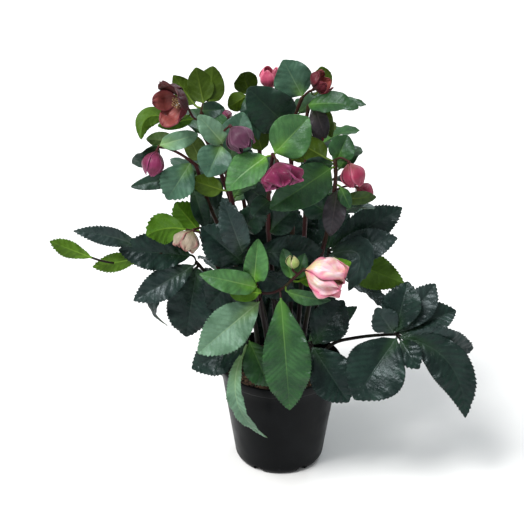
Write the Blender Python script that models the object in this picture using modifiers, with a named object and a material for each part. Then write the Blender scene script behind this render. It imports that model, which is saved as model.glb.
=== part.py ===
"""Hellebore in a round nursery pot: pot, soil, leafy flowering stems, blooms and basal leaves.

Metres, +Z up. The origin is the middle of the pot's underside. Leaves, stems and blooms are placed where
the photograph shows them: a point is a pixel of its 524 x 524 frame and a depth along Y. A leaf that would
cross another piece is bent clear of it along the line of sight.
"""

import math
from dataclasses import dataclass, field

import bmesh
import bpy
from mathutils import Matrix, Vector, noise
from mathutils.bvhtree import BVHTree

COLLECTION = "hellebore"

# Pot
POT_HEIGHT = 0.132
POT_RIM_RADIUS = 0.075
POT_BAND_HEIGHT = 0.012
POT_BAND_STEP = 0.0022
POT_BASE_RADIUS = 0.0535
POT_WALL = 0.0020
POT_FLOOR = 0.0028
FOOT_RISE = 0.011
FOOT_ROUND = 0.008
POT_SIDES = 28
NOTCH_COUNT = 6
NOTCH_WIDTH = 0.011
NOTCH_HEIGHT = 0.0045
NOTCH_START = math.radians(240)

# Soil and the holes in it
SOIL_TOP = 0.117
SOIL_LUMP = 0.0016
STEM_DEPTH = 0.018
GAP = 0.0003
HOLE_SIDES = 6

# Blades
BLADE_THICK = 0.0008
NECK_WIDTH = 0.0026
NECK_REACH = 0.0065
CLEARANCE = 0.0010
TOOTH_DEPTH = 0.06
TOOTH_STEP = 0.021
SMALL_BLADE = 0.024
LARGE_BLADE = 0.045

# Stems and blooms
BLOOM_REACH = 0.0018
PETAL_LAYERS = (0, 1, 0, 1, 2)
PETAL_RIB = (0.0, 0.15, 0.55, 1.0)
PETAL_EDGE = (0.20, 0.50, 0.86)
TUBE_BEVEL = 1
SEAM_MERGES = (0.00006, 0.00004, 0.00002, 0.000005)

# Colours, linear red, green and blue
GREEN = (0.045, 0.11, 0.035)
DARK = (0.016, 0.036, 0.026)
BURGUNDY = (0.16, 0.010, 0.035)
BLOOM_COLOURS = {
    "bud_pale": (0.66, 0.42, 0.38),
    "bloom_cream": (0.52, 0.36, 0.33),
    "bloom_pink": (0.52, 0.09, 0.16),
    "bud_green": (0.22, 0.30, 0.09),
    "bud_purple": (0.16, 0.045, 0.12),
    "bud_magenta": (0.25, 0.016, 0.09),
}

# Basal leaves behind: name, crown, elbow, hand's centre, way out, leaflet length and width
BACK_LEAVES = (
    ("leaf_back_left", (-0.034, 0.030), (-0.052, 0.062, 0.170), (-0.074, 0.088, 0.205), (-0.8, 1.0), 0.082, 0.038),
    ("leaf_back_middle", (0.002, 0.046), (0.004, 0.080, 0.180), (0.004, 0.112, 0.212), (0.05, 1.0), 0.084, 0.038),
    ("leaf_back_right", (0.036, 0.028), (0.056, 0.058, 0.165), (0.080, 0.082, 0.200), (0.9, 0.9), 0.080, 0.038),
)

# The photograph's eye
EYE = Vector((-0.0216, -1.263, 0.858))
EYE_TILT = math.radians(25.3)
EYE_REACH = 1200.0
FRAME_MIDDLE = 262.0


def seen(across, down, depth):
    """The point that the photograph shows at this pixel, at this depth along Y."""
    right = (across - FRAME_MIDDLE) / EYE_REACH
    up = (FRAME_MIDDLE - down) / EYE_REACH
    level = math.cos(EYE_TILT) + up * math.sin(EYE_TILT)
    rise = -math.sin(EYE_TILT) + up * math.cos(EYE_TILT)
    ray = Vector((right, level, rise))
    return EYE + ray * ((depth - EYE.y) / ray.y)


def turned(vector, axis, degrees):
    """The vector turned about an axis."""
    return Matrix.Rotation(math.radians(degrees), 3, axis) @ vector


@dataclass
class Tube:
    """A stem, twig, leaf stalk or flower stalk, thick at its foot and thinner at its end."""

    route: list
    foot: float
    end: float

    def radius(self, share):
        """The radius at a share of the route."""
        return self.foot + (self.end - self.foot) * share

    def nearest(self, point):
        """The point of the route that is nearest to a point."""
        best = self.route[0]
        for start, stop in zip(self.route, self.route[1:]):
            run = stop - start
            share = max(0.0, min(1.0, (point - start).dot(run) / run.length_squared))
            spot = start + run * share
            if (spot - point).length < (best - point).length:
                best = spot
        return best


@dataclass
class Blade:
    """One leaf, bract or leaflet: a rib from base to tip with a half blade on each side of it."""

    base: Vector
    tip: Vector
    width: float
    facing: Vector
    saw: bool = False
    roll: float = 0.0
    arch: float = 0.06
    sweep: float = 0.0
    fold: float = 14.0
    twist: float = 0.0
    via: Vector = None
    root: Vector = None
    on: tuple = None
    sighted: bool = True

    def settle(self):
        """Works out the rib's curve and the blade's own directions."""
        chord = self.tip - self.base
        self.length = chord.length
        along = chord.normalized()
        side = along.cross(self.facing).normalized()
        self.side = turned(side, along, self.roll)
        top = self.side.cross(along)
        middle = (self.base + self.tip) / 2
        if self.via is None:
            bow = top * self.arch + self.side * self.sweep
            self.control = middle + bow * 2 * self.length
        else:
            self.control = self.via * 2 - middle + top * self.arch * 2 * self.length

    def rib(self, t):
        """The rib's point and its direction at t, from 0 at the base to 1 at the tip."""
        spot = self.base * (1 - t) ** 2 + self.control * 2 * t * (1 - t) + self.tip * t * t
        way = (self.control - self.base) * (1 - t) + (self.tip - self.control) * t
        return spot, way.normalized()

    def half_width(self, t):
        """Half the blade's width: an egg shape for a bract, longer and narrow-footed for a leaflet."""
        if self.saw:
            full = math.sin(math.pi * min(t, 1.0) ** 1.05) ** 0.85
        else:
            full = math.sin(math.pi * min(t, 1.0) ** 0.80) ** 0.66
        return self.width / 2 * full

    def point(self, t, across, wider=0.0):
        """A point of the blade: across is -1 and 1 at its edges and 0 on its rib."""
        spot, way = self.rib(t)
        side = turned(self.side, way, self.twist * t)
        side = (side - way * side.dot(way)).normalized()
        top = side.cross(way)
        reach = max(NECK_WIDTH / 2 * (1 - t), self.half_width(t)) + wider
        lift = math.radians(self.fold)
        flat = side * across * reach * math.cos(lift)
        return spot + flat + top * abs(across) * reach * math.sin(lift)

    def rib_marks(self):
        """Marks along the rib: a short blade needs fewer to follow its curve."""
        if self.length < LARGE_BLADE:
            return [0.0, 0.50, 1.0]
        return [0.0, 0.34, 0.70, 1.0]

    def edge_marks(self):
        """Marks along an edge, as t and how far out: smooth for a bract, saw teeth for a leaflet."""
        if not self.saw:
            if self.length < SMALL_BLADE:
                return [(0.0, 1.0), (0.22, 1.0), (0.66, 1.0), (1.0, 1.0)]
            if self.length < LARGE_BLADE:
                return [(0.0, 1.0), (0.10, 1.0), (0.38, 1.0), (0.74, 1.0), (1.0, 1.0)]
            return [(0.0, 1.0), (0.08, 1.0), (0.28, 1.0), (0.56, 1.0), (0.84, 1.0), (1.0, 1.0)]
        teeth = max(3, round(self.length / TOOTH_STEP))
        marks = [(0.0, 1.0)]
        for i in range(teeth):
            marks.append(((i + 0.62) / teeth, 1.0 + TOOTH_DEPTH))
            marks.append(((i + 0.84) / teeth, 1.0 - TOOTH_DEPTH))
        marks[-1] = (1.0, 1.0)
        return marks

    def sheet(self, wider=0.0, from_t=None):
        """The blade's middle surface as points and triangles; from_t leaves the part near the base out."""
        self.settle()
        rib_marks = self.rib_marks()
        edge_marks = self.edge_marks()
        start = -1
        if self.root is not None and (self.base - self.root).length < NECK_REACH:
            rib_marks = rib_marks[1:]
            edge_marks = edge_marks[1:]
        if from_t is not None:
            rib_marks = [from_t] + [t for t in rib_marks if t > from_t]
            edge_marks = [(from_t, 1.0)] + [m for m in edge_marks if m[0] > from_t]
            start = from_t
        points = []

        def keep(point):
            points.append(point)
            return len(points) - 1

        neck = self.root is not None and from_t is None
        rib = [(t, keep(self.point(t, 0.0))) for t in rib_marks]
        if neck:
            rib.insert(0, (start, keep(self.root)))
        faces = []
        for hand in (-1, 1):
            edge = []
            if neck:
                spot = self.root + self.side * hand * (NECK_WIDTH / 2 + wider)
                edge.append((start, keep(spot)))
            edge += [(t, keep(self.point(t, hand * out, wider))) for t, out in edge_marks[:-1]]
            edge.append(rib[-1])
            faces += stitched(rib, edge, hand > 0)
        return points, faces


def stitched(rib, edge, flip):
    """Triangles between two rows of (mark, index) that end in the same point."""
    faces = []
    i = 0
    j = 0
    while i < len(rib) - 1 or j < len(edge) - 1:
        rib_next = rib[i + 1][0] if i < len(rib) - 1 else math.inf
        edge_next = edge[j + 1][0] if j < len(edge) - 1 else math.inf
        if rib_next <= edge_next:
            face = (rib[i][1], rib[i + 1][1], edge[j][1])
            i += 1
        else:
            face = (rib[i][1], edge[j + 1][1], edge[j][1])
            j += 1
        if len(set(face)) == 3:
            faces.append(face[::-1] if flip else face)
    return faces


@dataclass
class Bloom:
    """A bloom or bud: five petals in layers round an axis from its foot to its mouth."""

    foot: Vector
    mouth: Vector
    radius: float
    open: float = 0.2
    petals: int = 5
    turn: float = 0.0
    spread: float = 34.0
    layer: float = 0.0015

    def axes(self):
        """The way from foot to mouth and two ways across it."""
        along = (self.mouth - self.foot).normalized()
        side = along.cross(Vector((0, 0, 1)))
        if side.length < 0.1:
            side = along.cross(Vector((0, 1, 0)))
        side.normalize()
        return along, side, along.cross(side)

    def petal_point(self, petal, t, across):
        """A point of a petal: t from 0 at the foot to 1 at its tip, across from -1 to 1."""
        along, side, up = self.axes()
        layer = PETAL_LAYERS[petal] * self.layer
        swell = math.sin(math.pi / 2 * min(1.0, t / 0.55)) ** 0.9
        late = max(0.0, (t - 0.55) / 0.45)
        ring = self.radius * swell * (1 + (self.open - 1) * late ** 1.6) + layer * min(1.0, t * 5)
        away = abs(2 * t - 1)
        half = self.spread * ((1 - away ** 2.2) ** 0.8 if t < 0.5 else (1 - away ** 2.6) ** 0.7)
        angle = math.radians(self.turn + 360.0 / self.petals * petal + across * half)
        height = (self.mouth - self.foot).length * t
        return self.foot + along * height + (side * math.cos(angle) + up * math.sin(angle)) * ring

    def petal_sheet(self, petal):
        """A petal's middle surface as points and triangles."""
        points = []

        def keep(point):
            points.append(point)
            return len(points) - 1

        rib = [(t, keep(self.petal_point(petal, t, 0.0))) for t in PETAL_RIB]
        faces = []
        for hand in (-1, 1):
            edge = [rib[0]] + [(t, keep(self.petal_point(petal, t, hand))) for t in PETAL_EDGE]
            edge.append(rib[-1])
            faces += stitched(rib, edge, hand > 0)
        return points, faces


@dataclass
class Plant:
    """A leafy stem or a basal leaf: its tubes and its blades, fused into one node."""

    name: str
    tubes: list = field(default_factory=list)
    blades: list = field(default_factory=list)
    colour: tuple = GREEN

    def nearest(self, point):
        """The nearest point on any of its tubes."""
        spots = [tube.nearest(point) for tube in self.tubes]
        return min(spots, key=lambda spot: (spot - point).length)

    def leaf(self, base, tip, width, under=False, via=None, **shape):
        """Adds a blade between two points of the photograph, each given as across, down and depth."""
        base = seen(*base)
        tip = seen(*tip)
        facing = (EYE - (base + tip) / 2).normalized()
        if under:
            facing = -facing
        if via is not None:
            via = seen(*via)
        self.blades.append(Blade(base, tip, width, facing, via=via, **shape))

    def root_of(self, blade):
        """Where a blade grows from: a tube, or the rib of an earlier blade that it names with a share."""
        if blade.on is None:
            return self.nearest(blade.base)
        return self.blades[blade.on[0]].rib(blade.on[1])[0]

    def stalk(self, bloom, *route, thick=0.0011):
        """Adds a flower stalk from the plant to just short of a bloom's foot."""
        along = bloom.axes()[0]
        end = bloom.foot - along * BLOOM_REACH
        points = [seen(*spot) for spot in route]
        first = self.nearest(points[0] if points else end)
        self.tubes.append(Tube([first] + points + [end], thick * 1.15, thick))

    def twig(self, *route, foot=0.0017, end=0.0014):
        """Adds a twig from the nearest point of the plant through points of the photograph."""
        points = [seen(*spot) for spot in route]
        self.tubes.append(Tube([self.nearest(points[0])] + points, foot, end))

    def whorl(self, share, count, start, length, width, rise=10.0, **shape):
        """Adds a ring of blades round the main tube at a share of its route, turned from start degrees."""
        route = self.tubes[0].route
        place = share * (len(route) - 1)
        step = min(int(place), len(route) - 2)
        spot = route[step].lerp(route[step + 1], place - step)
        for i in range(count):
            yaw = math.radians(start + 360.0 / count * i + 17.0 * math.sin(5 * i + start))
            reach = length * (1 + 0.16 * math.sin(3 * i + start))
            pitch = math.radians(rise + 12.0 * math.sin(4 * i + 2 * start))
            out = Vector((math.cos(yaw), math.sin(yaw), 0))
            way = out * math.cos(pitch) + Vector((0, 0, math.sin(pitch)))
            facing = Vector((0, 0, math.cos(pitch))) - out * math.sin(pitch)
            base = spot + way * 0.008
            self.blades.append(Blade(base, base + way * reach, width, facing, sighted=False, **shape))

    def hand(self, centre, out, length, width, leaflets=4, spread=140.0, droop=18.0, **shape):
        """Adds the leaflets of a basal leaf, fanned round its centre towards out."""
        level = Vector((out[0], out[1], 0)).normalized()
        for i in range(leaflets):
            share = i / (leaflets - 1) - 0.5
            way = turned(level, Vector((0, 0, 1)), spread * share)
            pitch = math.radians(droop + 8.0 * math.cos(3 * i))
            way = way * math.cos(pitch) - Vector((0, 0, math.sin(pitch)))
            facing = Vector((0, 0, 1)) - way * way.z
            reach = length * (1 - 0.7 * share * share)
            base = centre + way * 0.005
            blade = Blade(base, base + way * reach, width * reach / length, facing, saw=True, sighted=False, **shape)
            self.blades.append(blade)


def stem(name, crown, *route, foot=0.0033, end=0.0019, colour=GREEN):
    """A plant whose main tube rises from its hole in the soil through points of the photograph."""
    x, y = crown
    ground = [Vector((x, y, SOIL_TOP - STEM_DEPTH)), Vector((x, y, SOIL_TOP + 0.006))]
    above = [spot if isinstance(spot, Vector) else seen(*spot) for spot in route]
    return Plant(name, [Tube(ground + above, foot, end)], [], colour)


def flowering_stems(blooms):
    """The leafy stems, front and sides as the photograph shows them, then the two behind."""
    far_left = stem("stem_far_left", (-0.016, 0.010), (268, 330, 0.002), (258, 290, -0.004),
                    (240, 225, -0.012), (216, 160, -0.022), (199, 124, -0.030), (204, 104, -0.026))
    far_left.stalk(blooms["bloom_open_burgundy"], (193, 119, -0.038))
    far_left.leaf((194, 104, -0.018), (173, 75, -0.006), 0.024, under=True)
    far_left.leaf((203, 102, -0.022), (196, 67, -0.010), 0.030, under=True)
    far_left.leaf((209, 102, -0.020), (213, 66, -0.012), 0.033, under=True)
    far_left.leaf((203, 111, -0.030), (225, 109, -0.040), 0.020, arch=0.12)
    far_left.leaf((192, 119, -0.026), (157, 126, -0.036), 0.017, under=True)
    far_left.leaf((167, 118, -0.028), (141, 140, -0.044), 0.022, under=True, via=(147, 118, -0.034))
    far_left.leaf((222, 178, -0.014), (196, 212, -0.012), 0.034, saw=True)
    far_left.whorl(0.80, 1, 110, 0.050, 0.036, rise=18)
    far_left.whorl(0.62, 1, 75, 0.054, 0.038)

    left = stem("stem_left", (-0.026, -0.004), (257, 330, -0.010), (246, 290, -0.020),
                (222, 235, -0.035), (206, 197, -0.042), (196, 165, -0.047))
    left.twig((184, 156, -0.050), (171, 149, -0.055), (159, 146, -0.060))
    left.stalk(blooms["bud_magenta"], thick=0.0010)
    left.leaf((158, 146, -0.057), (132, 165, -0.054), 0.023, arch=0.08)
    left.leaf((161, 145, -0.062), (199, 134, -0.052), 0.020, arch=0.14)
    left.leaf((174, 141, -0.052), (146, 139, -0.060), 0.019, under=True)
    left.leaf((200, 160, -0.040), (188, 134, -0.030), 0.024, under=True)
    left.leaf((190, 164, -0.052), (167, 200, -0.066), 0.040, saw=True)
    left.leaf((196, 172, -0.036), (130, 187, -0.046), 0.020)
    left.leaf((194, 190, -0.046), (206, 229, -0.046), 0.020)
    left.whorl(0.88, 1, 120, 0.048, 0.034, rise=14)
    left.whorl(0.66, 1, 95, 0.054, 0.038, rise=4)

    purple = stem("stem_purple_bud", (-0.010, -0.014), (268, 335, -0.022), (258, 300, -0.033),
                  (243, 245, -0.047), (233, 205, -0.055), (226, 172, -0.062), (222, 148, -0.066))
    purple.stalk(blooms["bud_purple"], (218, 136, -0.062))
    purple.leaf((221, 146, -0.069), (207, 177, -0.086), 0.038, arch=0.02)
    purple.leaf((223, 143, -0.068), (198, 115, -0.066), 0.026, fold=24)
    purple.leaf((228, 166, -0.050), (243, 112, -0.038), 0.042, arch=0.02)
    purple.leaf((231, 176, -0.058), (252, 150, -0.062), 0.024)
    purple.leaf((222, 190, -0.056), (191, 180, -0.058), 0.024, under=True)
    purple.leaf((240, 232, -0.054), (266, 206, -0.062), 0.032, saw=True)
    purple.whorl(0.74, 1, 80, 0.046, 0.032, rise=6)

    back = stem("stem_back_middle", (-0.004, 0.014), (276, 325, 0.014), (272, 270, 0.014),
                (266, 215, 0.014), (261, 165, 0.016), (257, 125, 0.020), (252, 98, 0.020))
    back.stalk(blooms["bloom_pink"], (262, 104, 0.028))
    back.leaf((250, 94, 0.018), (242, 72, 0.010), 0.028, under=True)
    back.leaf((246, 96, 0.012), (228, 108, 0.000), 0.022, under=True)
    back.leaf((246, 98, 0.006), (258, 141, -0.014), 0.024, via=(254, 112, -0.006), roll=20)
    back.leaf((262, 150, 0.012), (252, 118, -0.004), 0.032, under=True)
    back.leaf((265, 200, 0.010), (244, 184, -0.010), 0.034)
    back.whorl(0.86, 1, 85, 0.050, 0.036, rise=16)
    back.whorl(0.66, 1, 125, 0.056, 0.040, rise=6)

    round_leaf = stem("stem_round_leaf", (0.010, 0.016), (290, 325, 0.016), (292, 260, 0.012),
                      (293, 200, 0.010), (291, 155, 0.010), (290, 128, 0.010), (296, 112, 0.008),
                      (302, 98, 0.004))
    round_leaf.stalk(blooms["cup_burgundy"], (308, 92, 0.000))
    round_leaf.leaf((302, 95, 0.006), (283, 60, 0.000), 0.044, arch=0.02, fold=6)
    round_leaf.leaf((318, 91, 0.016), (321, 66, 0.020), 0.024, under=True, sweep=-0.12)
    round_leaf.leaf((285, 124, 0.004), (248, 88, -0.012), 0.052, arch=0.05)
    round_leaf.leaf((292, 160, 0.006), (318, 137, 0.000), 0.026, under=True)
    round_leaf.whorl(0.84, 1, 55, 0.048, 0.036, rise=20)
    round_leaf.whorl(0.62, 1, 70, 0.054, 0.038, rise=4)

    long_pair = stem("stem_long_pair", (0.016, 0.003), (298, 330, 0.000), (303, 260, -0.004),
                     (306, 200, -0.006), (306, 150, -0.008), (306, 120, -0.010), (309, 105, -0.014))
    long_pair.leaf((310, 104, -0.014), (367, 103, -0.008), 0.032, roll=-50, arch=0.10)
    long_pair.leaf((309, 105, -0.018), (359, 107, -0.034), 0.028, roll=-35, arch=0.08)
    long_pair.leaf((313, 108, -0.012), (322, 150, -0.006), 0.013, roll=30)
    long_pair.leaf((315, 108, -0.016), (326, 139, -0.022), 0.021)
    long_pair.leaf((320, 108, -0.010), (332, 137, 0.000), 0.019, under=True)
    long_pair.leaf((307, 190, -0.008), (326, 160, -0.006), 0.032)
    long_pair.whorl(0.76, 1, 62, 0.050, 0.036, rise=12)
    long_pair.whorl(0.55, 1, 48, 0.052, 0.038, rise=2)

    magenta = stem("stem_magenta_bloom", (0.004, -0.012), (281, 335, -0.024), (275, 295, -0.042),
                   (269, 245, -0.048), (268, 205, -0.066), (270, 172, -0.080), (273, 154, -0.086))
    magenta.stalk(blooms["bloom_magenta"], thick=0.0012)
    magenta.leaf((276, 152, -0.088), (309, 117, -0.082), 0.047, arch=0.03)
    magenta.leaf((266, 157, -0.088), (226, 190, -0.104), 0.040, arch=0.05)
    magenta.leaf((269, 200, -0.070), (252, 216, -0.074), 0.024)
    magenta.leaf((269, 232, -0.056), (298, 206, -0.060), 0.036, saw=True)

    right = stem("stem_right", (0.026, -0.008), (304, 330, -0.016), (312, 290, -0.026),
                 (324, 245, -0.036), (333, 205, -0.044), (336, 178, -0.046), (335, 160, -0.046))
    right.stalk(blooms["bud_pinkish"], (341, 157, -0.050))
    right.stalk(blooms["bud_red"], (345, 186, -0.032))
    right.leaf((330, 169, -0.052), (270, 209, -0.092), 0.044, arch=0.06)
    right.leaf((332, 164, -0.048), (297, 170, -0.062), 0.022, roll=-30)
    right.leaf((337, 160, -0.044), (348, 135, -0.036), 0.032, fold=22)
    right.leaf((326, 158, -0.034), (296, 141, -0.026), 0.028, under=True)
    right.leaf((341, 188, -0.052), (350, 208, -0.062), 0.015)
    right.leaf((344, 199, -0.046), (377, 197, -0.042), 0.016)
    right.leaf((337, 192, -0.050), (330, 237, -0.064), 0.026)
    right.leaf((330, 214, -0.040), (300, 196, -0.040), 0.036, saw=True)
    right.whorl(0.90, 1, 60, 0.046, 0.034, rise=12)
    right.whorl(0.68, 1, 30, 0.052, 0.036)

    front = stem("stem_front", (-0.010, -0.030), (268, 345, -0.042), (263, 318, -0.052),
                 (260, 298, -0.062), (256, 284, -0.068))
    front.twig((270, 294, -0.070), (283, 289, -0.077), (293, 279, -0.082))
    front.stalk(blooms["bud_pale"], thick=0.0013)
    front.stalk(blooms["bud_green"], thick=0.0010)
    front.leaf((254, 282, -0.072), (258, 239, -0.072), 0.030, fold=24)
    front.leaf((256, 287, -0.074), (199, 274, -0.088), 0.028, arch=0.10)
    front.leaf((259, 293, -0.076), (228, 290, -0.092), 0.025, under=True)
    front.leaf((292, 278, -0.078), (283, 248, -0.072), 0.018)
    front.leaf((297, 278, -0.080), (305, 253, -0.074), 0.017)
    front.leaf((300, 281, -0.076), (352, 262, -0.072), 0.028, under=True)
    front.leaf((288, 292, -0.086), (331, 301, -0.104), 0.017, roll=25)
    front.leaf((258, 303, -0.070), (197, 354, -0.106), 0.050, saw=True, arch=0.10)
    front.leaf((281, 300, -0.084), (290, 412, -0.104), 0.056, saw=True, arch=0.04)

    low_left = stem("stem_low_left", (-0.032, -0.020), (247, 335, -0.030), (235, 300, -0.038),
                    (215, 262, -0.047), (201, 236, -0.052))
    low_left.stalk(blooms["bloom_cream"], (202, 227, -0.062), thick=0.0012)
    low_left.leaf((184, 229, -0.054), (146, 236, -0.064), 0.036, under=True, saw=True, sweep=-0.10)
    low_left.leaf((198, 230, -0.050), (175, 202, -0.048), 0.032, under=True, saw=True)

    back_left = stem("stem_back_left", (-0.012, 0.027), Vector((-0.022, 0.040, 0.20)),
                     Vector((-0.042, 0.062, 0.30)), Vector((-0.052, 0.080, 0.365)),
                     Vector((-0.054, 0.088, 0.395)))
    back_left.stalk(blooms["bud_back_left"])
    back_left.whorl(0.96, 3, 40, 0.050, 0.038)
    back_left.whorl(0.72, 3, 100, 0.056, 0.040)
    back_left.whorl(0.58, 3, 40, 0.058, 0.042, rise=6)

    back_right = stem("stem_back_right", (0.018, 0.029), Vector((0.028, 0.046, 0.20)),
                      Vector((0.040, 0.068, 0.29)), Vector((0.046, 0.086, 0.350)),
                      Vector((0.044, 0.094, 0.378)))
    back_right.stalk(blooms["bud_back_right"])
    back_right.whorl(0.96, 3, 10, 0.050, 0.038)
    back_right.whorl(0.72, 3, -40, 0.056, 0.040)
    back_right.whorl(0.60, 1, 0, 0.058, 0.042, rise=8)
    back_right.whorl(0.56, 1, 80, 0.058, 0.042, rise=4)
    return [far_left, left, purple, back, round_leaf, long_pair, magenta, right, front, low_left,
            back_left, back_right]


def stalked_leaf(name, crown, *route):
    """A basal leaf's node with only its own stalk yet."""
    return stem(name, crown, *route, foot=0.0024, end=0.0018, colour=DARK)


def basal_leaves():
    """The saw-edged leaves that rise from the crown on their own stalks."""
    right = stalked_leaf("leaf_right", (0.040, -0.012), (330, 342, -0.026), (366, 336, -0.044),
                         (396, 334, -0.058))
    right.leaf((393, 332, -0.060), (376, 308, -0.058), 0.034, saw=True)
    right.leaf((396, 331, -0.060), (408, 281, -0.044), 0.046, saw=True)
    right.leaf((399, 331, -0.056), (436, 283, -0.026), 0.038, saw=True)
    right.leaf((400, 333, -0.056), (457, 310, -0.036), 0.042, saw=True)
    right.leaf((401, 336, -0.060), (475, 349, -0.056), 0.046, saw=True)
    right.leaf((402, 338, -0.064), (466, 419, -0.100), 0.048, saw=True, via=(448, 362, -0.074))
    right.leaf((396, 339, -0.066), (354, 400, -0.104), 0.072, saw=True, arch=0.06)
    right.leaf((401, 341, -0.064), (419, 369, -0.080), 0.030, saw=True)

    upper = stalked_leaf("leaf_upper_right", (0.036, 0.006), (312, 330, 0.004), (320, 290, -0.006),
                         (329, 252, -0.016))
    upper.leaf((332, 248, -0.016), (403, 207, 0.000), 0.042, saw=True)
    upper.leaf((333, 250, -0.020), (398, 238, -0.024), 0.038, saw=True)
    upper.leaf((333, 254, -0.018), (405, 284, -0.030), 0.044, under=True, saw=True)
    upper.leaf((331, 255, -0.024), (348, 291, -0.058), 0.040, saw=True, via=(360, 256, -0.036))
    upper.leaf((328, 248, -0.010), (340, 202, 0.010), 0.040, saw=True)

    left = stalked_leaf("leaf_left", (-0.043, -0.004), (241, 330, -0.010), (222, 290, -0.024),
                        (196, 262, -0.036))
    left.leaf((190, 255, -0.040), (118, 250, -0.056), 0.044, saw=True)
    left.leaf((138, 246, -0.050), (73, 231, -0.066), 0.022, saw=True, on=(0, 0.4), via=(108, 236, -0.056))
    left.leaf((140, 258, -0.054), (92, 267, -0.066), 0.022, under=True, saw=True, on=(0, 0.4))
    left.leaf((90, 257, -0.068), (49, 241, -0.078), 0.020, under=True, saw=True, on=(2, 0.55))
    left.leaf((193, 266, -0.044), (133, 301, -0.078), 0.036, saw=True)
    left.leaf((197, 268, -0.040), (186, 338, -0.056), 0.058, saw=True)
    left.leaf((192, 270, -0.036), (166, 328, -0.040), 0.018, via=(158, 300, -0.040), roll=40)

    front_left = stalked_leaf("leaf_front_left", (-0.022, -0.038), (253, 362, -0.050), (248, 344, -0.068))
    front_left.leaf((250, 342, -0.072), (269, 387, -0.084), 0.042, saw=True)
    front_left.leaf((245, 343, -0.074), (191, 369, -0.082), 0.042, saw=True)
    front_left.leaf((246, 346, -0.076), (267, 441, -0.084), 0.020, saw=True, via=(239, 396, -0.096), roll=25)

    front_right = stalked_leaf("leaf_front_right", (0.012, -0.038), (300, 362, -0.050), (311, 346, -0.060))
    front_right.leaf((313, 348, -0.064), (349, 403, -0.092), 0.054, saw=True)
    front_right.leaf((314, 343, -0.060), (344, 300, -0.046), 0.046, saw=True)
    front_right.leaf((310, 340, -0.056), (358, 306, -0.040), 0.024)

    middle = stalked_leaf("leaf_middle", (-0.020, -0.021), (258, 345, -0.036), (252, 300, -0.052),
                          (248, 264, -0.062))
    middle.leaf((243, 262, -0.066), (201, 227, -0.078), 0.050, saw=True)
    middle.leaf((252, 253, -0.056), (324, 251, -0.058), 0.038, saw=True, arch=0.16)
    middle.leaf((244, 256, -0.066), (222, 197, -0.074), 0.032, saw=True)
    middle.leaf((251, 268, -0.064), (296, 302, -0.066), 0.040, saw=True)
    middle.leaf((243, 268, -0.064), (207, 308, -0.068), 0.050, saw=True)

    inner = stalked_leaf("leaf_inner", (-0.002, 0.034), (276, 320, 0.036), (274, 282, 0.038))
    inner.leaf((271, 279, 0.036), (214, 246, 0.026), 0.054, saw=True)
    inner.leaf((273, 277, 0.038), (246, 214, 0.038), 0.056, saw=True)
    inner.leaf((275, 277, 0.038), (296, 206, 0.040), 0.060, saw=True)
    inner.leaf((277, 280, 0.036), (334, 232, 0.036), 0.056, saw=True)
    inner.leaf((278, 284, 0.034), (336, 300, 0.026), 0.056, saw=True)
    inner.leaf((271, 285, 0.034), (216, 312, 0.024), 0.056, saw=True)
    inner.leaf((276, 278, 0.040), (318, 212, 0.046), 0.046, saw=True)
    inner.leaf((273, 289, 0.040), (262, 339, 0.050), 0.040, saw=True)
    inner.leaf((277, 289, 0.040), (313, 339, 0.050), 0.044, saw=True)

    hidden = []
    for name, crown, elbow, centre, out, length, width in BACK_LEAVES:
        plant = stalked_leaf(name, crown, Vector(elbow), Vector(centre))
        plant.hand(Vector(centre), out, length, width)
        hidden.append(plant)
    return [right, upper, left, front_left, front_right, middle, inner] + hidden


def blooms_and_buds():
    """Every bloom and bud, from its foot to its mouth."""
    return {
        "bloom_open_burgundy": Bloom(seen(184, 101, -0.042), seen(166, 106, -0.060), 0.0180, open=1.15),
        "bud_magenta": Bloom(seen(157, 151, -0.062), seen(151, 176, -0.068), 0.0100, open=0.22),
        "bud_purple": Bloom(seen(231, 127, -0.076), seen(247, 149, -0.086), 0.0132, open=0.55, turn=30),
        "bloom_pink": Bloom(seen(270, 89, 0.034), seen(270, 68, 0.034), 0.0110, open=0.55),
        "cup_burgundy": Bloom(seen(314, 89, -0.002), seen(327, 79, -0.006), 0.0118, open=0.70, turn=14),
        "bloom_magenta": Bloom(seen(277, 162, -0.098), seen(284, 187, -0.108), 0.0185, open=0.60, turn=20),
        "bud_pinkish": Bloom(seen(349, 163, -0.054), seen(356, 187, -0.060), 0.0118, open=0.35),
        "bud_red": Bloom(seen(356, 187, -0.028), seen(370, 198, -0.032), 0.0092, open=0.35),
        "bud_pale": Bloom(seen(305, 270, -0.090), seen(344, 283, -0.104), 0.0185, open=0.45, turn=10),
        "bud_green": Bloom(seen(293, 269, -0.084), seen(292, 256, -0.082), 0.0062, open=0.3, petals=4),
        "bloom_cream": Bloom(seen(193, 231, -0.072), seen(184, 250, -0.080), 0.0125, open=0.6),
        "bud_back_left": Bloom(Vector((-0.061, 0.104, 0.404)), Vector((-0.070, 0.120, 0.388)), 0.0110, open=0.4),
        "bud_back_right": Bloom(Vector((0.049, 0.110, 0.387)), Vector((0.057, 0.126, 0.371)), 0.0120, open=0.6),
    }


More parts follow.
